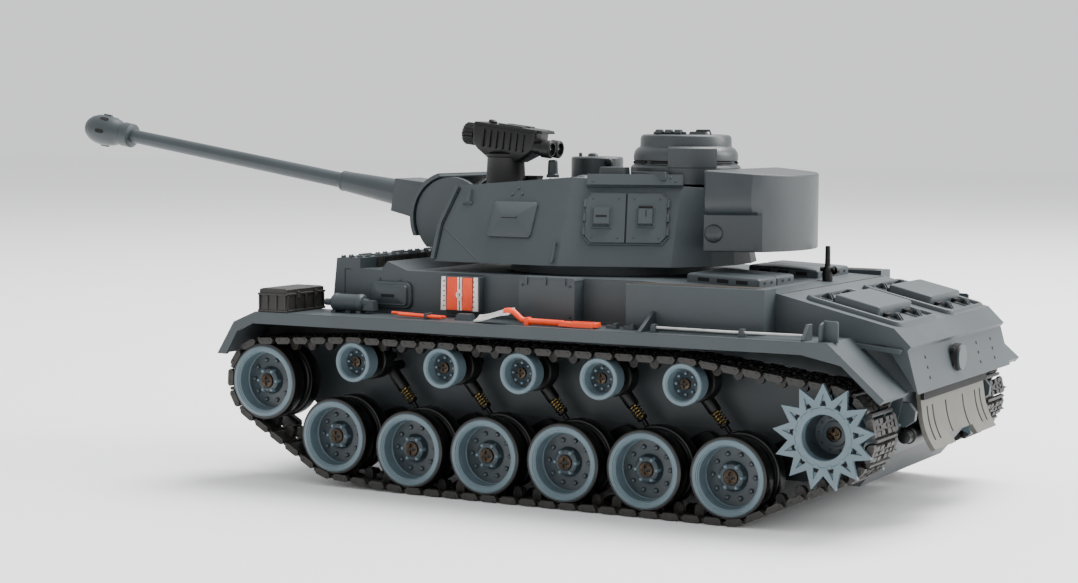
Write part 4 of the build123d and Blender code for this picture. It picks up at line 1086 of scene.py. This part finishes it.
ledge_at = side_point(60.6, 102.2, rear_side)
rain_ledge = block(-18.4, 18.4, -2.4, 2.4, -0.6, 2.3, 0.25)
ledge_studs = set_out(stud(0.45, 0.5, 8), [(-15.6, -0.6, 2.2), (-13.8, 0.8, 2.2),
    (15.6, -0.6, 2.2)])
make("turret_doors", "turret", (both(joined(*[on_facet(squeezed(s), rear_side, door_mid)
    for s in (leaves_of, hinges, visor, pistol, door_studs)])), slate_abs),
    (both(on_facet(squeezed(door_shade), rear_side, door_mid)), slot_black),
    (both(joined(on_facet(rain_ledge, rear_side, ledge_at),
    on_facet(ledge_studs, rear_side, ledge_at))), slate_abs), bevel=0.15)

# %% Small rail and the corner bead between the facets
corner = np.array([(82.6, 50.6, 71), (84.2, 35, 102.9)])
short_rail = joined(tube(corner[0] + (corner[1] - corner[0]) * np.array([[0.02], [0.14],
    [0.27]]) + np.array([1.5, 0.9, 0]), 0.45, 8),
    *[tube(np.array([p, p - np.array([-0.4, 1.4, 0])]), 0.5, 6)
    for p in corner[0] + (corner[1] - corner[0]) * np.array([[0.05], [0.24]]) + np.array([1.5, 0.9,
    0])])
make("turret_rails", "turret", (both(short_rail), slate_abs))

# %% [markdown]
# ## Rear stowage bin
# A bent-sheet bin: flat sides flaring forward, a round back, and an upper half
# that bulges out on each side. It is a stack of outlines, and the bulge comes
# from a cosine of the height.

# %% Bin
def bin_outline(z, swell):
    """Outline at height z; the flanks move out by swell between the front and rear corners."""
    flank = np.linspace(0, 1, 15)
    x = 28.7 - 20.2 * flank
    y = 35.0 - 8 * flank + swell * np.clip(flank * 14, 0, 1) * np.clip((0.97 - flank) * 14, 0, 1)
    radius = 49.6
    turn = np.arcsin(27 / radius) * np.linspace(1, -1, 25)[1:-1]
    left = np.column_stack([x, y])
    ring = np.vstack([left, np.column_stack([0.5 + radius * (1 - np.cos(turn)),
        radius * np.sin(turn)]), left[::-1] * [1, -1]])
    return np.column_stack([ring, np.full(len(ring), z)])


heights = np.array([76.9, 77.4, 84, 90.6, 91, 91.8, 93.2, 95, 98, 102, 106])
swell = np.array([0, 0.2, 0.2, 0.2, 0.9, 1.9, 2.7, 3.1, 3.1, 2.4, 1.5])
bin_rings = np.array([bin_outline(z, s) for z, s in zip(heights, swell)])
top_ring = bin_rings[-1].copy()
top_ring[:, 2] = 105.2 + 0.07 * np.maximum(top_ring[:, 0], 0)
bin_rings[-1] = top_ring - [0, 0, 0.4]
inner = top_ring.copy()
middle = inner.mean(0)
inner[:, :2] = middle[:2] + (inner[:, :2] - middle[:2]) * 0.985
bin_rings = np.concatenate([bin_rings, inner[None]])
ball = lathe([(0.4, -1), (2.2, -0.6), (3.3, 0.3), (3.5, 1.2), (3, 2.2), (1.9, 2.9), (0.6, 3.2)],
             (25.4, 32.9, 83.6), (-0.35, 1, 0.1), 28)
# The bin takes the darker slate: painted shade on its sides and back.
make("stowage_bin_detail", "turret", (loft(bin_rings), dark_slate), (both(ball), dark_slate),
    bevel=0.25, corner=20, stands_for=["stowage_bin"])

# %% [markdown]
# ## Cupola and roof
# The cupola is turned in steps. Vision slits are dark bars under raised blocks
# set round its drum.

# %% Commander's cupola
cup_x, cup_z = 52.2, 101
cupola_body = lathe([(21.4, 0.2), (21.4, 6.4), (20.9, 7.2), (20.2, 7.5), (20.2, 8), (19.6, 8.1),
    (19.6, 9), (20.3, 9.1), (20.3, 11.2), (20, 12.4), (19.2, 13.6), (18.2, 14.2), (17.8, 14.6),
    (17.7, 17.6), (17.3, 18.6), (16.5, 19.1), (14.4, 19.2), (14.2, 18.9), (6, 19), (2, 19.1)],
    (cup_x, 0, cup_z), steps=96)


def arc_block(radius, thick, start, end, z0, z1, steps=10):
    """Curved block on a drum: a small section carried round an arc."""
    turn = np.radians(np.linspace(start, end, steps))[:, None]
    section = np.array([(radius, z0), (radius + thick, z0), (radius + thick, z1 - 0.8),
        (radius + thick - 0.8, z1), (radius, z1)])
    return loft(np.stack([cup_x + section[:, 0] * np.cos(turn), section[:, 0] * np.sin(turn),
                          cup_z + section[:, 1] + 0 * turn], -1))


vision_blocks = joined(arc_block(19.4, 2.2, 96, 148, 6.6, 14.6, 20),
    arc_block(19.4, 2.2, -52, -8, 6.6, 14.6, 20))
vision_slits = joined(*[arc_block(19, 1.5, a - w, a + w, 7.9, 9.2) for a, w in ((83.5, 11),
    (162.5, 13), (205, 13), (247, 13), (290, 12), (20, 13), (52, 12))])
lid_bits = joined(*[lathe([(0.5, -1.5), (1.2, -1.4), (1.2, 1.4), (0.5, 1.5)], (x, y, cup_z + 19.9),
    (1, 0, 0), 12) for x, y in ((57.5, 13), (49.5, 13), (53.5, 13))], block(46.5, 60.5, 11.6, 12.6,
    cup_z + 18.8, cup_z + 20.2, 0.2), block(50, 57, 8, 11.8, cup_z + 18.8, cup_z + 19.6, 0.3),
    block(42, 49.5, 1, 4.2, cup_z + 18.8, cup_z + 20.3, 0.6), tube([(40.5, 2.6, cup_z + 19),
    (41, 2.6, cup_z + 20.7), (46.5, 2.6, cup_z + 20.7), (47, 2.6, cup_z + 19)], 0.5, 8))
make("cupola_detail", "turret", (joined(cupola_body, vision_blocks, lid_bits), dark_slate),
    (vision_slits, slot_black), bevel=0.12)

# %% Loader's hatch and other roof fittings
hatch = lathe([(10.6, 0), (10.6, 9.2), (10.2, 9.7), (9.4, 9.9), (1, 10.1)], (100, -18, 100.9),
    steps=56)
hatch_bits = joined(lathe([(2.2, 0), (2.3, 0.8), (1.9, 1.9), (0.8, 2.3)], (101, -16, 110),
    steps=20), lathe([(0.6, 0), (0.75, 2), (0.5, 2.6)], (105.6, -14, 109.8), steps=12),
    lathe([(0.7, 0), (0.8, 0.9), (0.4, 1.3)], (107.4, -18, 109.7), steps=12),
    lathe([(1.5, 0), (1.6, 0.5), (0.8, 0.9)], (95.4, -14, 110), steps=16))
dark_knob = lathe([(0.8, -1.6), (1.5, -1.2), (1.7, 0), (1.5, 1.2), (0.8, 1.6)], (91, -11, 108.6),
    (0, 1, 0), 18)
roof_post = lathe([(2.6, 0), (2.5, 1.2), (2.1, 1.4), (1.9, 6.4), (1.5, 6.9), (0.6, 7)],
    (104, 13, 102.8), steps=24)
vent = joined(set_out(prism(rounded(11.4, 6, 1), 0, 4.4, 0.4), (70.2, 26, 103.2)),
              set_out(prism(rounded(15, 5, 0.8), 0, 3.2, 0.3), (56, 24, 102.8)))
dome = lathe([(3.6, 0), (3.4, 0.8), (2.4, 1.5), (0.8, 1.8)], (83, 26.4, 102.6), steps=28)
rib_x = np.linspace(110.5, 116.5, 7)
ribbed = joined(block(110, 117, 9.5, 14.5, 101.2, 102.9, 0.4),
    *[block(x - 0.3, x + 0.3, 9.3, 14.7, 102.4, 103.4) for x in rib_x])
roof_studs = set_out(stud(0.4, 0.35, 8), [(x, y, 103.7 - 0.083 * abs(x - 84))
    for x in (124, 110, 96, 70) for y in (-30, 30, 0)])
make("roof_fittings", "turret", (joined(hatch, hatch_bits, roof_post, vent, dome, roof_studs),
    dark_slate), (joined(ribbed, dark_knob), black_nylon), bevel=0.15,
    stands_for=["cupola_and_hatch"])

# %% [markdown]
# ## Roof sight
# A black sight head tilted nose-up on a pedestal: a knurled knob in front, two
# rear lens tubes, side ribs and a flat top plate with screws.

# %% Sight
tilt = np.radians(7)
sight_x, sight_y = 122.5, 18
head = dict(origin=(sight_x - 1, sight_y, 111.2), ex=(np.cos(tilt), 0, np.sin(tilt)),
    ez=(-np.sin(tilt), 0, np.cos(tilt)))
pedestal = joined(lathe([(8, 0), (8.1, 0.6), (7.9, 1.2), (7.4, 11), (7.6, 11.6), (7.2, 12.4)],
    (sight_x, sight_y, 99.6), steps=40), lathe([(7.4, 0), (8, 0.3), (8, 1.4), (7, 1.8)],
    (sight_x, sight_y, 110.6), steps=40))
head_body = stacked([(15, 9, 2, -1.6), (24, 12, 2, 1.6), (28, 12.6, 1.6, 4),
                     (28.6, 12.6, 1.6, 10.4), (28.6, 12, 1.2, 11.4)])
ribs = both(joined(*[block(x - 0.45, x + 0.45, 5.9, 7, 2.6, 9.6, 0.1)
    for x in np.linspace(-9.4, 8.6, 7)]))
top_plate = joined(block(-14.8, 13.6, -6.6, 6.6, 11, 12.1, 0.4),
    block(-17, -12, -5.4, 5.4, 10.8, 12, 0.3), *[block(-8, 3, y, y + 4.4, 12, 12.6, 0.3)
    for y in (-5.4, 1)], *[lathe([(1.3, 0), (1.4, 0.9), (1, 1.3)], (x, y, 12), steps=14) for x,
    y in ((6.5, 3), (9.5, -1))])
ridge_turn = np.linspace(0, 2 * np.pi, 73)[:-1]
knob_radius = 4.3 + 0.22 * np.sign(np.cos(18 * ridge_turn))
knob = loft([np.column_stack([np.full(72, x), s * knob_radius * np.cos(ridge_turn),
    6.6 + s * knob_radius * np.sin(ridge_turn)]) for x, s in ((14.6, 0.8), (15, 1), (19.4, 1),
    (20.2, 0.86), (20.4, 0.3))])
lens_tubes = joined(*[lathe([(2.6, 0), (2.9, 3.2), (3.5, 3.6), (3.5, 7.2), (3.1, 7.6), (2.5, 7.6),
    (2.4, 6.4), (0.6, 6.2)], (-13.6, y, 5.2), (-1, 0, 0), 28) for y in (-3.4, 3.4)])
lens = joined(*[lathe([(2.2, 6.3), (1.2, 6.75), (0.3, 6.85)], (-13.6, y, 5.2), (-1, 0, 0), 20)
    for y in (-3.4, 3.4)])
lens_gloss = finish_of("smoked_lens", "#0a0a0a", "#141414", 0.12, rough_spread=0.02, IOR=1.5)
make("sight_detail", "turret",
    (joined(pedestal, set_out(joined(head_body, ribs, top_plate, knob, lens_tubes), **head)),
    black_nylon), (set_out(lens, **head), lens_gloss), bevel=0.15, slot="black_plastic",
    stands_for=["roof_sight"])

# %% [markdown]
# ## Gun
# The mantlet is a bent sheet: an arc about the trunnion, then straight down. A
# tapered block stands in front of it round the barrel's root, and the CAD
# mantlet stays behind it. The barrel keeps its CAD shape.

# %% Mantlet
trunnion_x, _, trunnion_z = centre["gun_elevate"]
sweep = np.radians(np.concatenate([np.linspace(74, -6, 22), [-23.5]]))[:, None]
outer, inner_arc = (np.hstack([trunnion_x + r * np.cos(sweep), 0 * sweep,
    trunnion_z + r * np.sin(sweep)]) for r in (18.55, 17.15))
sheet = np.concatenate([outer, inner_arc[::-1]])
shield = loft([sheet + [0, y, 0] for y in (-23.4, 23.4)])

# %% Muzzle brake
gun_tilt = np.radians(9.1)
gun_root = np.array([150, 0, 89.5])  # zero of the distances along the gun
gun_ahead = np.array([np.cos(gun_tilt), 0, np.sin(gun_tilt)])
gun_up = np.array([-gun_ahead[2], 0, gun_ahead[0]])
block_of = dict(origin=gun_root, ex=gun_ahead, ey=(0, 1, 0), ez=gun_up)
root_block = loft([np.array([(along, -w, low), (along, w, low), (along, w, high - cut),
    (along, w - cut, high), (along, -w + cut, high), (along, -w, high - cut)]) for along, w, low,
    high, cut in ((8, 11.2, -8.4, 8.4, 1.6), (30.6, 10, -6.8, 6.8, 1.4))])
make("mantlet_detail", "gun", (joined(shield, set_out(root_block, **block_of)), slate_abs),
    bevel=0.3)
brake = lathe([(3.1, 176.6), (4.7, 176.8), (5.35, 177.2), (5.4, 181.6), (4.9, 182.2), (5, 184),
    (5.7, 185.4), (6.3, 187.4), (6.75, 190.4), (6.85, 193.4), (6.5, 196.4), (5.6, 199.2),
    (4.2, 201.3), (3, 202), (2.7, 201.6), (2.6, 198), (0.4, 197.6)], gun_root, gun_ahead, 48)


def on_brake(along, turn, reach):
    """Axes on the brake's skin at a distance along the gun and a turn about it (0 is up)."""
    out = np.cos(turn) * gun_up + np.sin(turn) * np.array([0, 1, 0])
    return dict(origin=gun_root + along * gun_ahead + reach * out, ex=gun_ahead,
        ey=np.cross(out, gun_ahead), ez=out)


ports = joined(*[set_out(prism(rounded(4.4, 1.7, 0.8), -0.8, 0.05),
    **on_brake(191, np.radians(a), 6.85)) for a in (35, 325, 90, 270)])
lugs = joined(*[set_out(block(-2.2, 2.2, -0.8, 0.8, -0.6, 0.5, 0.2),
    **on_brake(192, np.radians(a), 6.75)) for a in (0, 180)])
sleeve_bands = joined(lathe([(4, 61), (4.35, 61.3), (4.3, 62.4), (3.6, 63.4), (3.3, 63.6)],
    gun_root, gun_ahead, 36), lathe([(5.2, 30), (6.1, 30.3), (6.1, 31.6), (5.5, 32.2)], gun_root,
    gun_ahead, 36))
make("brake_detail", "gun", (joined(brake, lugs, sleeve_bands), slate_abs), (ports, slot_black),
     stands_for=["muzzle_brake"])

# %% [markdown]
# ## Camera, floor and light
# The camera stands to the left rear, level with the turret. Soft daylight comes
# from all round, with a stronger panel from behind the tank.

# %% Camera
camera = linked("camera", bpy.data.cameras.new("camera"))
camera.data.sensor_width, camera.data.lens = 36.0, 72.68
camera.data.clip_start, camera.data.clip_end = 0.05, 20
yaw, down, roll = np.radians((28.417, 4.413, 0.329))
forward = np.array([np.sin(yaw) * np.cos(down), -np.cos(yaw) * np.cos(down), -np.sin(down)])
right = np.cross(forward, (0, 0, 1))
right /= np.linalg.norm(right)
above = np.cross(right, forward)
tilted = np.cos(roll) * right + np.sin(roll) * above
upright = -np.sin(roll) * right + np.cos(roll) * above
spot_at = np.array([-0.30207, 0.77440, 0.12405]) + datum
camera.matrix_world = mathutils.Matrix(np.column_stack([tilted, upright, -forward,
    spot_at]).tolist() + [(0, 0, 0, 1)])
scene.camera = camera
print("camera at", spot_at.round(3), "m, lens", camera.data.lens, "mm")

# %% Floor
floor_paper = blank_material("pale_paper")
paper = add_node(floor_paper, "BsdfPrincipled", {"Base Color": linear("#fbfbfb"), "Roughness": 0.9})
add_node(floor_paper, "OutputMaterial", {"Surface": paper.outputs["BSDF"]})
floor_mesh = bpy.data.meshes.new("floor")
floor_mesh.from_pydata([(-6, -6, 0), (6, -6, 0), (6, 6, 0), (-6, 6, 0)], [], [(0, 1, 2, 3)])
floor_mesh.materials.append(floor_paper)
floor = linked("floor", floor_mesh)
print("floor of", floor.dimensions.x, "m")

# %% Light
world = bpy.data.worlds.new("daylight")
scene.world = world
world.use_nodes = True
world.node_tree.nodes["Background"].inputs["Color"].default_value = linear("#fdfeff")
world.node_tree.nodes["Background"].inputs["Strength"].default_value = 1.05


def panel(name, at, towards, size, watts):
    """Square area light at one point, facing another."""
    light = bpy.data.lights.new(name, "AREA")
    light.size, light.energy = size, watts
    thing = linked(name, light)
    thing.location = at
    thing.rotation_euler = (mathutils.Vector(towards) - mathutils.Vector(at)).to_track_quat("-Z",
        "Y").to_euler()
    return thing


panel("rear_panel", (-1.7, -1, 0.9), (0, 0, 0.05), 1, 30)
panel("top_panel", (-0.5, -0.8, 1.9), (0, 0, 0.05), 1.4, 88)
